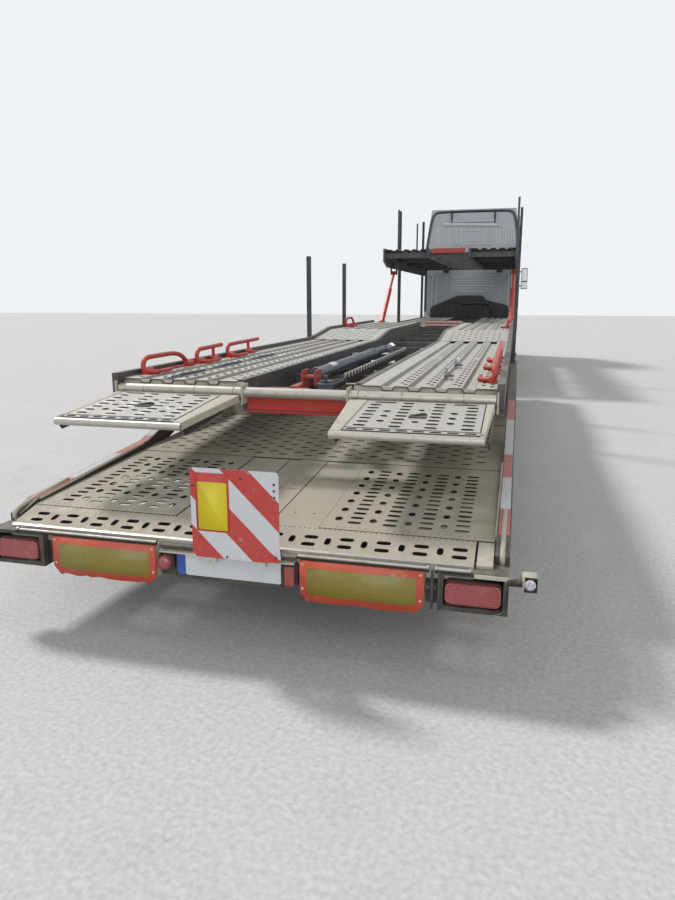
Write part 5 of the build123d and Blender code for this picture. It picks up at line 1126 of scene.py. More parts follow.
# piece, finish, upper left and lower right corner on the board, radius, ahead from, ahead to
for name, kind, corner, far, radius, d0, d1 in (
        ("sticker_border", "sticker_red", (0.060, 0.050), (0.445, 0.700), 0.010, -0.0441, -0.0425),
        ("sticker_field", "sticker_yellow", (0.085, 0.150), (0.420, 0.680), 0.003, -0.0444, -0.0435)):
    corner, far = on_board(*corner), on_board(*far)
    mesh_piece(name, prism(rounded_box((far[0], corner[0]), (far[1], corner[1]), radius), d0, d1), kind, "trailer")
MARKS = ((0.95, 0.13), (0.95, 0.20), (0.95, 0.27), (0.58, 0.09), (0.40, 0.975), (0.955, 0.93), (0.03, 0.20))
places = [(on_board(*mark)[0], ahead(-0.0430), on_board(*mark)[1]) for mark in MARKS]
mesh_piece("board_studs", copies(bolt(1, 0.006, 0.0016), places), "chassis_black", "trailer")
post = [bar((x - 0.020, x + 0.020), (-0.008, -0.039), (0.470, 0.880), 0.004) for x in (-0.195, 0.045)]
post.append(bar((-0.250, 0.100), (0.052, -0.010), (0.516, 0.540), 0.004))
mesh_piece("board_post", post, "board_back", "trailer", 30)

# %% [markdown]
# Red and white tape marks the outside of both side rails, and the left rail ends in a bent tube. A cream
# block fills the place between the right end of the slotted plate and its rail.

# %% Tape and ends of the side rails
RAIL_TOP_LINE = np.array(((0.150, 0.552), (0.290, 0.597), (1.470, 0.680), (2.375, 0.930), (5.514, 0.930),
                          (5.900, 0.760), (9.180, 0.760)))


def rail_stations(first, last):
    """(y, z) stations on the side rail's top between two distances ahead."""
    inner = RAIL_TOP_LINE[(RAIL_TOP_LINE[:, 0] > first) & (RAIL_TOP_LINE[:, 0] < last), 0]
    d = np.concatenate([[first], inner, [last]])
    return [(float(ahead(v)), float(np.interp(v, *RAIL_TOP_LINE.T))) for v in d]


tape, ends = [], []
flat_sheet = ((1.218, 0.0), (1.268, 0.0), (1.268, 0.0022), (1.218, 0.0022))
for side in (1, -1):
    tape.append(run_along([(side * x, z) for x, z in flat_sheet], rail_stations(0.30, 2.36)))
for first, last in ((6.0, 6.9), (7.6, 8.5)):
    for side in (-1, 1):
        tape.append(run_along([(side * x, z) for x, z in flat_sheet], rail_stations(first, last)))
mesh_piece("rail_tape", tape, "rail_tape", "trailer", 30)
for side in (1, -1):
    bend_line = [(side * 1.242, ahead(d), z) for d, z in (
        (0.60, 0.624), (0.25, 0.590), (0.155, 0.572), (0.135, 0.545), (0.150, 0.522))]
    ends.append(tube(rounded(bend_line, 3), 0.0115, 12))
    ends.append(tube([(side * 1.209, ahead(1.40), 0.672), (side * 1.209, ahead(0.30), 0.592)], 0.006, 8))
ends.append(fold(((0.080, 0.528), (0.120, 0.545), (0.300, 0.576)), 0.030, -1.205, -1.135))
mesh_piece("rail_ends", ends, "lid_beige", "trailer", 40)

# %% [markdown]
# The well between the tracks shows the lift gear: a long blue cylinder with two stages and a chrome rod, a
# toothed lock bar beside the right track, a small valve block with pipes, and brackets that have gone rusty.

# %% Lift gear in the well
def ring_rod(x, z, rows, sides=28):
    """A turned part along the vehicle: (ahead, radius) rows about an axis at x, z."""
    return turned([(float(ahead(d)), r) for d, r in rows], (x, 0, z), 1, sides)


CYL_X, CYL_Z = 0.060, 1.143
# (ahead, radius) rows of the cylinder's two stages and of the rod's end
STAGES = (((1.700, 0.040), (1.702, 0.052), (1.760, 0.052), (1.764, 0.046), (3.560, 0.046), (3.564, 0.053),
           (3.640, 0.053), (3.644, 0.048), (3.698, 0.048), (3.700, 0.036)),
          ((3.690, 0.030), (3.700, 0.036), (4.180, 0.036), (4.184, 0.040), (4.240, 0.040), (4.244, 0.028)))
ROD = ((4.230, 0.020), (4.236, 0.026), (4.640, 0.026), (4.645, 0.038), (4.715, 0.038), (4.720, 0.020))
barrel = [ring_rod(CYL_X, CYL_Z, rows) for rows in STAGES]
for d in (2.30, 3.05):
    barrel.append(ring_rod(CYL_X, CYL_Z, ((d, 0.044), (d + 0.002, 0.0485), (d + 0.030, 0.0485), (d + 0.032, 0.044))))
mesh_piece("deck_barrel", barrel, "cylinder_blue", "trailer_deck", 40, "deck_cylinder")
mesh_piece("deck_rod", ring_rod(CYL_X, CYL_Z, ROD), "chrome_rod", "trailer_deck", 40)
turn = np.linspace(math.radians(35), math.radians(140), 12)
circle = np.stack([np.cos(turn), np.sin(turn)], 1)
label = np.zeros((2, 24, 3))
for k, d in enumerate((2.06, 2.20)):
    label[k, :, ::2] = np.array([CYL_X, CYL_Z]) + np.concatenate([0.0470 * circle, 0.0455 * circle[::-1]])
    label[k, :, 1] = ahead(d)
mesh_piece("blank_label", swept(label), "number_white", "trailer_deck", 40)

RACK_START, TOOTH_PITCH, RACK_FOOT, TOOTH_FOOT, TOOTH_TOP = 1.660, 0.094, 1.096, 1.135, 1.164
rack_line = [(RACK_START, RACK_FOOT)]
for d in np.arange(RACK_START, 4.20, TOOTH_PITCH):
    rack_line += [(d, TOOTH_FOOT), (d + 0.014, TOOTH_TOP), (d + 0.052, TOOTH_TOP), (d + 0.066, TOOTH_FOOT)]
rack_line += [(4.250, TOOTH_FOOT), (4.250, RACK_FOOT)]
gear = [wall(rack_line, -0.172, -0.152), bar((-0.345, -0.172), (1.70, 1.64), (1.086, 1.100), 0.003)]
mesh_piece("lock_rack", gear, "zinc_bright", "trailer_deck", 30)

rusty = []
# x of the middle, ahead from, ahead to, height
for x, d0, d1, z in ((-0.105, 1.84, 2.26, 1.085), (-0.060, 2.60, 2.95, 1.070), (0.215, 2.40, 2.66, 1.075)):
    channel = [(x + dx, z + dz) for dx, dz in (
        (-0.038, -0.030), (-0.032, -0.030), (-0.032, 0), (0.032, 0), (0.032, -0.030), (0.038, -0.030),
        (0.038, 0.006), (-0.038, 0.006))]
    rusty.append(run_along(channel, [(ahead(d0), 0.0), (ahead(d1), 0.0)]))
    rusty.append(copies(bolt(2, 0.012, 0.009), [(x, ahead(d), z + 0.006) for d in (d0 + 0.05, d1 - 0.05)]))
foot = [bar((x, x + 0.012), (1.695, 1.560), (1.085, 1.190), 0.008) for x in (CYL_X - 0.050, CYL_X + 0.038)]
foot += [turned([(CYL_X - 0.062, 0.016), (CYL_X + 0.062, 0.016)], (0, ahead(1.600), CYL_Z), 0, 16),
         bar((0.105, 0.155), (1.860, 1.440), (1.060, 1.098), 0.006),
         bar((0.020, 0.330), (1.470, 1.420), (1.050, 1.086), 0.006)]
valves = [bar((-0.140, -0.035), (1.530, 1.430), (1.062, 1.122), 0.005),
          bar((-0.128, -0.050), (1.500, 1.460), (1.122, 1.136), 0.004),
          turned([(1.122, 0.012), (1.150, 0.012), (1.156, 0.016), (1.172, 0.016)], (-0.088, ahead(1.445), 0), 2, 14)]
# (x, ahead, z) points of each pipe, and its radius
PIPES = [([(x, 1.52, 1.100), (x, 1.60, 1.112 + 0.012 * (k % 2)), (x + 0.02 * (k - 1), 1.95, 1.080),
           (x - 0.012 * k, 2.5, 1.062), (0.02 - 0.03 * k, 3.6, 1.060), (0.10 - 0.05 * k, 5.0, 1.062)], 0.0085)
         for k, x in enumerate((-0.125, -0.100, -0.075, -0.050))]
PIPES.append(([(0.115, 1.72, 1.120), (0.170, 1.80, 1.150), (0.200, 2.10, 1.100), (0.180, 3.00, 1.075),
               (0.240, 4.60, 1.070)], 0.010))
pipes = [tube(rounded([(x, ahead(d), z) for x, d, z in line], 3), radius, 8) for line, radius in PIPES]
mesh_piece("well_brackets", rusty, "rusty_iron", "trailer_deck", 30)
mesh_piece("cylinder_foot", foot, "faded_red", "trailer_deck", 30)
mesh_piece("valve_block", valves, "cylinder_blue", "trailer_deck", 30)
mesh_piece("lift_pipes", pipes, "rubber", "trailer_deck", 60)
well_plates = [bar((0.100, 0.345), (4.100, 4.020), (1.085, 1.112), 0.004),
               bar((-0.345, -0.240), (4.900, 4.780), (1.085, 1.112), 0.004)]
mesh_piece("well_plate", well_plates, "lid_beige", "trailer_deck", 30)

# %% [markdown]
# Two coloured cross-pieces show between the tracks: a red panel that closes the rear of the truck's upper
# deck, and a striped bar low at the rear of its bed.

# %% Cross-pieces of the truck's decks
end_panel = [bar((-0.278, 0.278), (10.139, 10.126), (2.455, 2.538), 0.004)]
end_panel += [bar(x, (10.139, 10.120), (2.440, 2.545), 0.002) for x in ((-0.292, -0.278), (0.278, 0.292))]
mesh_piece("deck_end_panel", end_panel, "faded_red", "upper_deck", 30)
mesh_piece("bed_end_bar", prism(rounded_box((-0.335, 0.335), (1.165, 1.268), 0.050, 7), 9.715, 9.742, 0.004),
           "bar_stripes", "truck", 30)

# %% [markdown]
# The back of the cab is white pressed sheet. Ribs stiffen it, a recessed panel sits in the middle of the high
# roof, a white rain bar crosses above it, and a dark rubber seal runs round the edge where the wings meet it.

# %% Back of the cab
CAB_BACK_Y, EAVES, ROOF_TOP, BACK_LEAN = -7.070, 3.000, 3.950, 0.060


def back_y(z):
    """The Y of the cab's back face at a height: upright to the eaves, then leaning forward."""
    return CAB_BACK_Y - BACK_LEAN * np.clip((np.asarray(z, float) - EAVES) / (ROOF_TOP - EAVES), 0, 1)


def on_back(points, width, proud, sink=0.002):
    """A pressed bead on the cab's back along (x, z) points: half a flattened round section, width across."""
    points = np.asarray(rounded([(x, 0.0, z) for x, z in points], 2), float)
    points[:, 1] = back_y(points[:, 2])
    ahead_dir = np.gradient(points, axis=0)
    ahead_dir[:, 1] = 0
    ahead_dir /= np.linalg.norm(ahead_dir, axis=1)[:, None]
    across = np.stack([ahead_dir[:, 2], 0 * ahead_dir[:, 0], -ahead_dir[:, 0]], 1)
    turn = np.linspace(0, np.pi, 7)
    section = np.concatenate([np.stack([np.cos(turn) * width / 2, np.sin(turn) * proud], 1),
                              [(-width / 2, -sink), (width / 2, -sink)]])
    rings = points[:, None] + across[:, None] * section[None, :, :1]
    rings[:, :, 1] += section[None, :, 1]
    return swept(rings)


seal_line = [(-1.205, 1.30), (-1.205, 2.95), (-1.175, 3.20), (-1.075, 3.780), (-0.985, 3.872), (-0.86, 3.900),
             (0.86, 3.900), (0.985, 3.872), (1.075, 3.780), (1.175, 3.20), (1.205, 2.95), (1.205, 1.30)]
seal = [on_back(seal_line, 0.050, 0.026), on_back([(x * 0.965, z - 0.03) for x, z in seal_line[1:-1]], 0.012, 0.012)]
mesh_piece("back_seal", seal, "plastic_dark", "truck", 50)
# the bead's (x, z) points, its width and how proud it stands
BEADS = [([(x, 3.03), (x * 0.985, 3.60)], 0.024, 0.020) for x in (-1.060, -1.000, -0.930, -0.860)]
BEADS += [([(x, 3.08), (x, 3.46)], 0.022, 0.014) for x in (0.620, 0.300, -0.300, -0.620, 0.900)]
BEADS += [([(0.430, 3.46), (0.430, 3.14), (0.400, 3.07), (0.310, 3.05), (-0.520, 3.05)], 0.030, 0.030),
          ([(-0.690, 3.03), (-0.690, 3.45)], 0.026, 0.028), ([(0.735, 3.05), (0.735, 3.45)], 0.026, 0.028)]
frame_line = [(-0.352, 3.13), (-0.352, 3.39), (0.352, 3.39), (0.352, 3.13), (-0.352, 3.13)]
BEADS += [([first, second], 0.020, 0.020) for first, second in zip(frame_line, frame_line[1:])]
BEADS += [([(-0.62, z), (0.52, z)], 0.026, 0.020) for z in (2.235, 2.185, 2.120, 2.060, 1.985, 1.920, 1.840)]
BEADS += [([(x, 1.45), (x, 2.25)], 0.028, 0.024) for x in (-1.06, -0.98, 1.02, 0.90)]
mesh_piece("back_beads", [on_back(*row) for row in BEADS], "cab_white", "truck", 50)
rain_parts = [on_back([(-0.640, 3.530), (0.640, 3.575), (0.800, 3.580)], 0.085, 0.075, -0.014),
              on_back([(-0.760, 3.480), (-0.620, 3.520)], 0.030, 0.044, -0.014)]
mesh_piece("rain_bar", rain_parts, "cab_white", "truck", 50)
upright = (float(back_y(3.9)) - 0.004, float(back_y(3.6)) + 0.040)
brackets = [box_shape((x - 0.020, x + 0.020), upright, (3.600, 3.925), 0.006) for x in (-0.560, 0.560)]
brackets += [box_shape((x - 0.075, x + 0.075), (CAB_BACK_Y, CAB_BACK_Y + 0.055), (2.330, 2.405), 0.010)
             for x in (-0.740, 0.660)]
mesh_piece("back_brackets", brackets, "plastic_dark", "truck", 30)

# %% [markdown]
# Behind the cab sits a black plastic mass: the engine's rear cover with the air duct on top. The photograph shows it
# low and wide, so one outline is carried a short way along the vehicle, with ribs and a bent duct on it. The block's
# black is partly the cover and its hoses and partly painted shade, since it also fills the shade behind the cab.

# %% Rear cover of the engine, partly painted shade
# The outline of a dark block that is partly the rear cover and partly painted shade behind the cab
dark_outline = [(-1.030, 1.035), (-1.030, 1.440), (-0.960, 1.490), (-0.430, 1.600), (-0.360, 1.700), (-0.330, 1.735),
              (0.325, 1.735), (0.400, 1.700), (0.680, 1.580), (1.010, 1.440), (1.060, 1.380), (1.060, 1.035)]
dark_ring = np.array(rounded([(x, 0, z) for x, z in dark_outline], 2, True))[:, [0, 2]]
rear_cover_and_shade = [prism(dark_ring, 16.292, 16.360, 0.018)]
# the cover's upper edge by place across, for the ribs' tops
EDGE_X, EDGE_Z = (-1.03, -0.96, -0.43, -0.33, 0.325, 0.68, 1.06), (1.44, 1.49, 1.6, 1.73, 1.73, 1.58, 1.38)
for x in np.arange(-0.90, 0.95, 0.18):
    top = float(np.interp(x, EDGE_X, EDGE_Z)) - 0.07
    rear_cover_and_shade.append(bar((x - 0.012, x + 0.012), (16.300, 16.276), (1.06, top), 0.006))
DUCT_D, DUCT_R = 16.28, 0.032
duct = [(x, ahead(d), z) for x, d, z in ((-0.62, 16.30, 1.20), (-0.58, DUCT_D, 1.46), (-0.36, DUCT_D, 1.55),
                                         (0.10, DUCT_D, 1.50), (0.42, 16.29, 1.58))]
rear_cover_and_shade.append(tube(rounded(duct, 3), DUCT_R, 14))
for x in (-0.20, 0.10):
    clip = [(x - 0.010, 0.034), (x - 0.008, 0.039), (x + 0.008, 0.039), (x + 0.010, 0.034)]
    rear_cover_and_shade.append(turned(clip, (0, ahead(DUCT_D), 1.515), 0, 16))
mesh_piece("rear_cover_and_shade", rear_cover_and_shade, "plastic_dark", "truck", 40, "air_intake")

# %% [markdown]
# Truck tyres have straight ribs in the middle and blocks at the shoulders. The tyre's section goes round the
# axle in four stations a block: two where the shoulder sinks into a groove, two where it stands at full height.

# %% Tyres
def tyre_shape(x, y, z, radius, width, seat, blocks=40):
    """A tyre about an axle: at turn t the section is (across, distance out), its shoulder points sunk by the
    tread's depth while t is within a groove."""
    half, wall, deep = width / 2, radius - seat, 0.012
    rows = [(0.74, seat, 0), (0.80, seat + 0.004, 0), (0.86, seat + 0.020, 0), (0.955, seat + 0.26 * wall, 0),
        (0.985, seat + 0.36 * wall, 0), (0.996, seat + 0.40 * wall, 0), (1.0, seat + 0.52 * wall, 0),
        (0.985, seat + 0.62 * wall, 0), (0.95, radius - 0.040, 0), (0.925, radius - 0.020, 1),
        (0.88, radius - 0.008, 1), (0.62, radius - 0.003, 1), (0.60, radius - 0.015, 0),
        (0.52, radius - 0.015, 0), (0.50, radius - 0.002, 0), (0.22, radius - 0.001, 0),
        (0.205, radius - 0.014, 0), (0.125, radius - 0.014, 0), (0.11, radius, 0)]
    table = np.array(rows + [(-a, r, sunk) for a, r, sunk in rows[::-1]])
    block = 2 * np.pi / blocks
    turn = (np.arange(blocks)[:, None] * block + np.array([0, 0.03, 0.24, 0.27]) * block).ravel()
    down = np.tile([0, 1, 1, 0], blocks)[:, None]
    out = table[None, :, 1] - down * table[None, :, 2] * deep
    rings = np.stack([np.broadcast_to(x + table[None, :, 0] * half, out.shape), y + out * np.cos(turn)[:,
        None], z + out * np.sin(turn)[:, None]], -1)
    return swept(rings, True)


# %% [markdown]
# A steel wheel is a rolled ring with a pressed disc in it. The disc is dished and has ten hand holes. It is
# the punched sheet again, made over (turn, distance out) and then wrapped round the axle. Front discs bulge
# outward; of a twin pair the outer one is sunk deep, and the hub comes through it with a ring of nuts.

# %% Steel wheels
def wheel_shape(x, y, z, seat, width, dish, nut_ring, holes):
    """A ring, its disc and nuts. dish is (distance out, x) rows for the disc's outer face; holes is the hand
    holes' distance out and half depth."""
    h = width * 0.4
    section = np.array([
        (-h, seat + 0.014), (6e-3 - h, seat + 0.014), (0.010 - h, seat - 0.004), (h - 0.010, seat - 0.004),
        (h - 6e-3, seat + 0.014), (h, seat + 0.014), (h, seat - 0.004), (h - 0.008, seat - 0.014),
        (h - 0.050, seat - 0.020), (0.050 - h, seat - 0.020), (0.008 - h, seat - 0.014), (-h, seat - 0.004)])
    turn = np.linspace(0, 2 * np.pi, 60, endpoint=False)[:, None]
    rings = np.stack([np.broadcast_to(x + section[None, :, 0], (60, len(section))),
                      y + section[None, :, 1] * np.cos(turn), z + section[None, :, 1] * np.sin(turn)], -1)
    out, face = np.array(dish).T
    middle, deep = holes
    r_edges = np.unique(np.concatenate([out, [middle - deep * 1.4, middle + deep * 1.4]]))
    open_rows = (r_edges[:-1] < middle) & (r_edges[1:] > middle)
    open_cells = (np.arange(20) % 2 == 0)[:, None] & open_rows[None]
    points, groups = punched(np.linspace(0, 2 * np.pi, 21), r_edges, np.where(open_cells, 0.55 * 0.18, 0),
        np.where(open_cells, deep, 0), lambda t, r: np.interp(r, out, face), 0.011, 4, 0.8)
    t, r, across = points.T
    disc = outward(np.stack([across, y + r * np.cos(t), z + r * np.sin(t)], 1), groups)
    ten = np.arange(10) * 2 * np.pi / 10 + 0.31
    nut_face = float(np.interp(nut_ring, out, face))
    nuts = [(nut_face, y + nut_ring * math.cos(a), z + nut_ring * math.sin(a)) for a in ten]
    collar = turned([(0, 0.021), (0.004, 0.021)], (0, 0, 0), 0, 14)
    return [swept(rings, True), disc, copies(bolt(0, 0.0165, 0.026), nuts), copies(collar, nuts)]


def hub_shape(y, z, rows, studs, stud_face):
    """A turned hub along the axle from (x, radius) rows, with a ring of small bolts on its outer face."""
    eight = np.arange(8) * 2 * np.pi / 8
    places = [(stud_face, y + studs * math.cos(a), z + studs * math.sin(a)) for a in eight]
    return [turned(rows, (0, y, z), 0, 30), copies(bolt(0, 0.009, 0.006), places)]


def wheel_set(y, radius, seat, width, blocks, discs, nut_ring, holes, hub, studs, stud_face, drum, sides):
    """The wheels at one end of an axle as two shapes: the treads, and the discs with their hub and drum."""
    treads = [tyre_shape(x, y, radius, radius, width, seat, blocks) for x, dish in discs]
    parts = []
    for x, dish in discs:
        parts += wheel_shape(x, y, radius, seat, width, dish, nut_ring, holes)
    parts += hub_shape(y, radius, hub, studs, stud_face)
    if drum:
        parts.append(turned(drum, (0, y, radius), 0, sides))
    return joined(treads), joined(parts)


FRONT_Y, REAR_Y, BIG_R, SMALL_R = -7.950, -3.000, 0.470, 0.394
# radius, seat, width, blocks; x and (distance out, x) dish of each wheel; nuts' ring; hand holes;
# (x, radius) hub; studs' ring and face; (x, radius) drum and its sides
FRONT_SET = (
    BIG_R, 0.292, 0.290, 40,
    ((1.100, ((0.118, 1.210), (0.180, 1.214), (0.205, 1.206), (0.240, 1.186), (0.272, 1.150))),),
    0.1675, (0.222, 0.019),
    ((1.150, 0.120), (1.216, 0.120), (1.219, 0.112), (1.226, 0.108), (1.230, 0.088), (1.240, 0.082),
     (1.244, 0.070), (1.244, 0.020)), 0.098, 1.228, None, 0)
REAR_SET = (
    BIG_R, 0.292, 0.290, 40,
    ((1.100, ((0.105, 0.998), (0.190, 0.998), (0.215, 1.008), (0.245, 1.040), (0.272, 1.080))),
     (0.770, ((0.105, 0.886), (0.190, 0.886), (0.215, 0.878), (0.245, 0.850), (0.272, 0.815)))),
    0.1675, (0.224, 0.019),
    ((0.875, 0.106), (1.060, 0.106), (1.064, 0.098), (1.125, 0.094), (1.128, 0.106), (1.137, 0.106),
     (1.139, 0.098), (1.139, 0.020)), 0.084, 1.138,
    ((0.735, 0.168), (0.740, 0.180), (0.770, 0.180), (0.774, 0.174), (0.800, 0.174), (0.804, 0.180),
     (0.860, 0.180), (0.872, 0.150)), 40)
TRAILER_SET = (
    SMALL_R, 0.228, 0.240, 36,
    ((1.092, ((0.095, 1.010), (0.150, 1.010), (0.168, 1.020), (0.190, 1.042), (0.210, 1.070))),
     (0.812, ((0.095, 0.908), (0.150, 0.908), (0.168, 0.900), (0.190, 0.880), (0.210, 0.850)))),
    0.1300, (0.176, 0.012),
    ((0.892, 0.100), (1.070, 0.100), (1.078, 0.092), (1.130, 0.088), (1.150, 0.080), (1.155, 0.064),
     (1.155, 0.020)), 0.090, 1.071,
    ((0.752, 0.140), (0.757, 0.150), (0.800, 0.150), (0.804, 0.145), (0.884, 0.145), (0.892, 0.125)), 36)
# tread piece, disc piece, tyre's node, rim's node, body, y, set; the hand is added to each name
WHEELS = (
    ("front_tread_", "front_disc_", "front_tyre_", "front_rim_", "front_wheel_", FRONT_Y, FRONT_SET),
    ("rear_treads_", "rear_discs_", "rear_tyres_", "rear_rims_", "rear_wheels_", REAR_Y, REAR_SET),
    ("trailer_treads_rear_", "trailer_discs_rear_", "trailer_wheels_rear_", None, "wheels_rear_", ahead(3.180),
     TRAILER_SET),
    ("trailer_treads_front_", "trailer_discs_front_", "trailer_wheels_front_", None, "wheels_front_", ahead(4.500),
     TRAILER_SET))
for side, hand in SIDES:
    for tread, disc, tyre_node, rim_node, body, y, numbers in WHEELS:
        treads, discs = wheel_set(y, *numbers)
        if side < 0:
            treads, discs = mirrored(treads), mirrored(discs)
        mesh_piece(tread + hand, treads, "tyre_side", body + hand, 28, tyre_node + hand)
        mesh_piece(disc + hand, discs, "steel_wheel", body + hand, 35, rim_node and rim_node + hand)

# %% [markdown]
# The cab's front: a dark grille with a fine mesh, rubber round the screen, two wipers, lamps with clear
# covers. Behind the mirrors' glass the housing stays plain. The doors get handles and rubber round their windows.

# %% Front of the cab
GRILLE_X, GRILLE_Z = (-0.700, 0.700), (1.000, 1.700)
MESH_COLUMNS, MESH_ROWS, MESH_HOLE = 46, 22, 0.0125
SCREEN_LOW, SCREEN_HIGH = (-9.310, 1.950), (-9.097, 2.880)
grille = []
for z in 1.040 + 0.110 * np.arange(6):
    grille.append(box_shape(GRILLE_X, (-9.321, -9.286), (z - 0.021, z + 0.021), 0.006))
    grille.append(box_shape((-0.690, 0.690), (-9.325, -9.318), (z - 0.006, z + 0.006), 0.002))
checks = (np.arange(MESH_COLUMNS)[:, None] + np.arange(MESH_ROWS)[None]) % 2 == 0
points, groups = punched(np.linspace(*GRILLE_X, MESH_COLUMNS + 1), np.linspace(*GRILLE_Z, MESH_ROWS + 1),
                         checks * MESH_HOLE, checks * MESH_HOLE, lambda x, z: 0 * x + 9.284, 0.003, 1, 1.0)
grille.append(outward(points[:, [0, 2, 1]] * [1, -1, 1], groups))
mesh_piece("grille", grille, "plastic_dark", "truck", 30)


def on_screen(x, share, proud=0.006):
    """A point on the windscreen: share 0 at its foot, 1 at its top, proud of the glass."""
    y = SCREEN_LOW[0] + share * (SCREEN_HIGH[0] - SCREEN_LOW[0])
    z = SCREEN_LOW[1] + share * (SCREEN_HIGH[1] - SCREEN_LOW[1])
    return (x, y - proud * 0.974, z + proud * 0.223)


seal = [on_screen(x, f, 0.002) for x, f in ((-1.085, 0.02), (1.085, 0.02), (1.085, 0.98), (-1.085, 0.98))]
seal_ring = [seal[k] for k in (0, 1, 1, 2, 2, 3, 3, 0)]
rubber_parts = [tube(rounded(seal_ring, 2, True), 0.011, 8, True)]
# each wiper: x of its pivot, x of its blade's far end
for x0, x1 in ((0.95, 0.18), (0.05, -0.72)):
    arm = [on_screen(x0, 0.0, 0.008), on_screen((x0 + x1) / 2 + 0.05, 0.055, 0.014),
           on_screen(x1 + 0.10, 0.10, 0.012)]
    rubber_parts.append(tube(arm, [0.011, 0.008, 0.006], 8))
    rubber_parts.append(tube([on_screen(x0 - 0.02, 0.075, 0.006), on_screen(x1, 0.125, 0.006)], 0.006, 6))
mesh_piece("screen_rubber", rubber_parts, "rubber", "truck", 50)

WINDOW = ((-9.045, 1.962), (-8.174, 2.013), (-8.174, 2.686), (-8.880, 2.686))
HANDLE = ((1.238, -8.300), (1.262, -8.285), (1.262, -8.150), (1.238, -8.135))
for side, hand in SIDES:
    edge = [(side * 1.2405, *WINDOW[k]) for k in (0, 1, 1, 2, 2, 3, 3, 0)]
    handle = [(side * x, y, 1.855) for x, y in HANDLE]
    trim = [tube(rounded(edge, 2, True), 0.006, 8, True), tube(rounded(handle, 2), 0.010, 10),
            box_shape((side * 1.236, side * 1.243), (-8.315, -8.120), (1.800, 1.895), 0.002)]
    mesh_piece("door_trim_" + hand, trim, "plastic_dark", "door_" + hand, 50)
    plates = [box_shape((side * 1.322, side * 1.478), (-9.171, -9.166), z, 0.002)
              for z in ((2.150, 2.490), (1.940, 2.120))]
    mesh_piece("mirror_glass_" + hand, plates, "chrome_rod", "truck", 30)

# a headlamp's outline from above as (x, y), and its (height, drawn in) levels
LAMP_PLAN = np.array([(0.820, -9.374), (1.145, -9.374), (1.228, -9.252), (1.228, -9.180), (1.150, -9.296),
                      (0.820, -9.296)])
LAMP_LEVELS = ((0.562, 0.006), (0.572, 0.0), (0.728, 0.0), (0.738, 0.006))
headlamps = []
for side, hand in SIDES:
    rings = np.zeros((len(LAMP_LEVELS), len(LAMP_PLAN), 3))
    for k, (z, inset) in enumerate(LAMP_LEVELS):
        rings[k, :, :2] = (LAMP_PLAN + [0, inset]) * [side, 1]
        rings[k, :, 2] = z
    headlamps.append(swept(rings))
mesh_piece("headlamps", headlamps, "lens_clear", "truck", 30, "truck_lamps")
tail = [prism(rounded_box(sorted((side * x0, side * x1)), (0.884, 0.996), 0.018, 4), BUMPER_Y + 0.441,
              BUMPER_Y + 0.466, 0.004)
        for side in (1, -1) for x0, x1 in ((0.762, 0.888), (0.894, 1.018), (1.024, 1.158))]
mesh_piece("truck_tail_lenses", tail, "lens_red", "truck", 30)
boxes = [box_shape((side * 0.752, side * 1.168), (-0.490, -0.464), (0.872, 1.008), 0.008) for side in (1, -1)]
mesh_piece("truck_tail_boxes", boxes, "plastic_dark", "truck", 30)

# %% [markdown]
# Road film and painted shade grey the back of the cab. The back faces away from the key light, and its bluish grey is
# partly film and partly painted shade, while the paint stays white in front. The roof is one part, so its finish
# changes by place: behind a line across the vehicle the paint is greyer with the same painted shade.

# %% Road film and painted shade on the cab's back
# Bluish grey for the cab's back and the rear of its roof: partly road film, partly painted shade
BACK_SHADE_GREY = (0.40, 0.43, 0.47)
finish["cab_back_film_and_shade"] = weathered("cab_back_film_and_shade", BACK_SHADE_GREY, (0.50, 0.52, 0.54), 0.34, 0, 0.45, 0.15, 6, 0.06)
finish["roof_paint_shaded_back"] = weathered("roof_paint_shaded_back", WHITE, (0.56, 0.58, 0.60), 0.28, 0, 0.30, 0.15, 8, 0.04,
                                 pattern=banded((0, 1, 0), -7.140, 100.0, 0.5, BACK_SHADE_GREY, (0.66, 0.68, 0.70)))
dress("cab_back_film_and_shade", "cab_rear_wall")
dress("roof_paint_shaded_back", "cab_roof")

# %% [markdown]
# Dark lines and steps break up the white cab: the cowl under the screen, the joint between the cab and its
# high roof, the step openings in the skirts. Each is a thin strip that stands half a millimetre proud.

# %% Cowl, joints and steps of the cab
cab_lines = [box_shape((-1.120, 1.120), (-9.3315, -9.320), (1.880, 1.940), 0.002),
             box_shape((-1.170, 1.170), (-9.3308, -9.325), (1.776, 1.782)),
             box_shape((-1.170, 1.170), (-9.0912, -9.080), (2.996, 3.002))]
STEP_Y = (-8.985, -8.640)
for side, hand in SIDES:
    cab_lines.append(box_shape((side * 1.235, side * 1.2412), (-9.080, -7.080), (2.996, 3.002)))
    for z0, z1 in ((0.500, 0.610), (0.800, 0.910)):
        cab_lines.append(box_shape((side * 1.2395, side * 1.2425), STEP_Y, (z0, z1), 0.001))
        cab_lines.append(box_shape((side * 1.2395, side * 1.262), STEP_Y, (z0 - 0.012, z0 + 0.006), 0.003))
mesh_piece("cab_joints", cab_lines, "plastic_dark", "truck", 30)

# %% [markdown]
# Under the beds hang what such a chassis needs: steel straps and a cap on each fuel tank, and rubber flaps
# behind the wheels. Small amber lamps mark the length of both vehicles along their sides.

# %% Straps, mudflaps and side lamps
# a strap's top, outer side and underside as x from, x to, z from, z to
STRAP = ((0.70, 1.184, 0.979, 0.984), (1.179, 1.184, 0.416, 0.984), (0.70, 1.184, 0.416, 0.421))
CAP = ((1.178, 0.048), (1.196, 0.048), (1.200, 0.040), (1.214, 0.038))
# y, x from, x to, z from, z to, body
MUDFLAPS = ((-2.470, 0.640, 1.235, 0.240, 0.760, "truck"), (6.620, 0.700, 1.195, 0.200, 0.600, "trailer"))
RIBS = 5
LAMP_L = 0.105
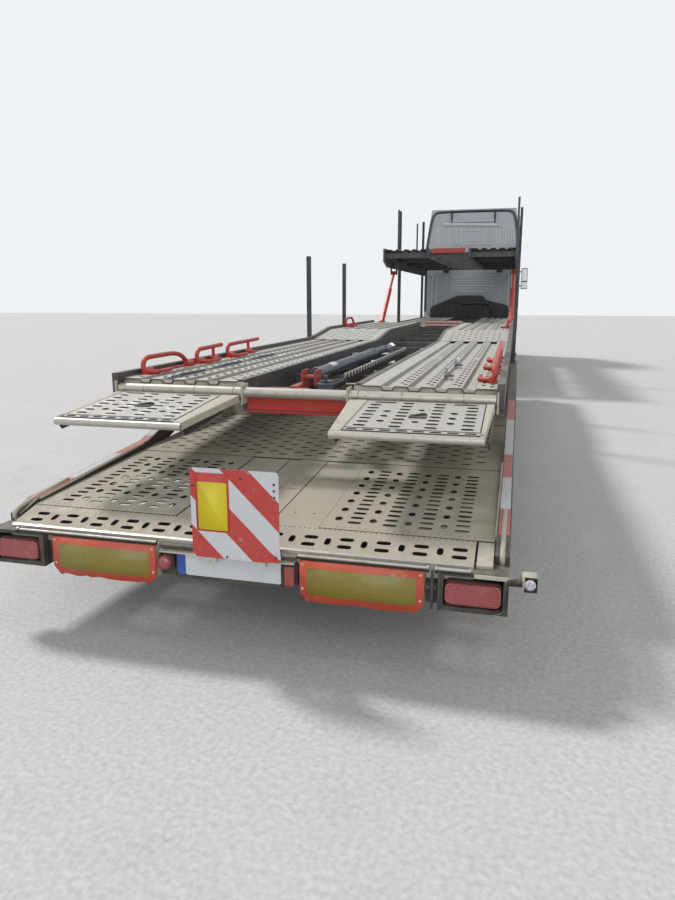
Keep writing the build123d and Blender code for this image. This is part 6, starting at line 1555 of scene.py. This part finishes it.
# y, x from, x to, z from, z to, body
SIDE_LAMPS = [(ahead(d) - LAMP_L, 1.274, 1.282, 0.575, 0.615, "trailer") for d in (6.20, 7.60, 8.90)]
SIDE_LAMPS += [(y, 1.204, 1.213, 0.975, 1.015, "truck") for y in (-5.900, -4.400, -1.300)]
straps, flaps, ambers = [], [], []
for side, hand in SIDES:
    for y in (-6.550, -6.000, -5.450):
        straps += [box_shape((side * x0, side * x1), (y - 0.022, y + 0.022), (z0, z1)) for x0, x1, z0, z1 in STRAP]
    straps.append(turned([(side * x, radius) for x, radius in CAP], (0, -6.270, 0.860), 0, 18))
    for y, x0, x1, z0, z1, body in MUDFLAPS:
        sheet = [(side * x0, z0), (side * x1, z0), (side * x1, z1), (side * x0, z1)]
        flaps.append((body, prism(sheet, BUMPER_Y - y, BUMPER_Y - y + 0.006)))
        for k in range(RIBS):
            x = side * (x0 + (k + 0.5) * (x1 - x0) / RIBS)
            rib = box_shape((x - 0.006, x + 0.006), (y, y + 0.009), (z0 + 0.03, z1 - 0.05), 0.002)
            flaps.append((body, rib))
    for y, x0, x1, z0, z1, body in SIDE_LAMPS:
        ambers.append((body, box_shape((side * x0, side * x1), (y, y + LAMP_L), (z0, z1), 0.004)))
mesh_piece("tank_straps", straps, "chassis_black", "truck", 30)
for body in ("truck", "trailer"):
    hung, lit = [shape for at, shape in flaps if at == body], [shape for at, shape in ambers if at == body]
    mesh_piece("mudflaps_" + body, hung, "rubber", body, 30)
    mesh_piece("side_lamps_" + body, lit, "lens_amber", body, 30)

# %% [markdown]
# A marker lamp stands out on a rubber arm at each rear corner, so that a driver sees the trailer's width. Its
# housing is pale and rounded, with a small lens to the rear.

# %% Marker lamps on their arms
ARM = ((1.262, 0.452), (1.300, 0.456), (1.332, 0.464))
arms, shells, lenses = [], [], []
for side, hand in SIDES:
    arms.append(tube([(side * x, ahead(0.100), z) for x, z in ARM], [0.013, 0.015, 0.024], 14))
    outline = rounded_box(sorted((side * 1.322, side * 1.399)), (0.433, 0.502), 0.020, 6)
    shells.append(prism(outline, 0.068, 0.130, 0.010))
    lenses.append(ring_rod(side * 1.362, 0.468, ((0.070, 0.024), (0.060, 0.023), (0.056, 0.016)), 20))
mesh_piece("marker_arms", arms, "rubber", "trailer", 50)
mesh_piece("marker_shells", shells, "lid_beige", "trailer", 30)
mesh_piece("marker_lenses", lenses, "lens_clear", "trailer", 30)
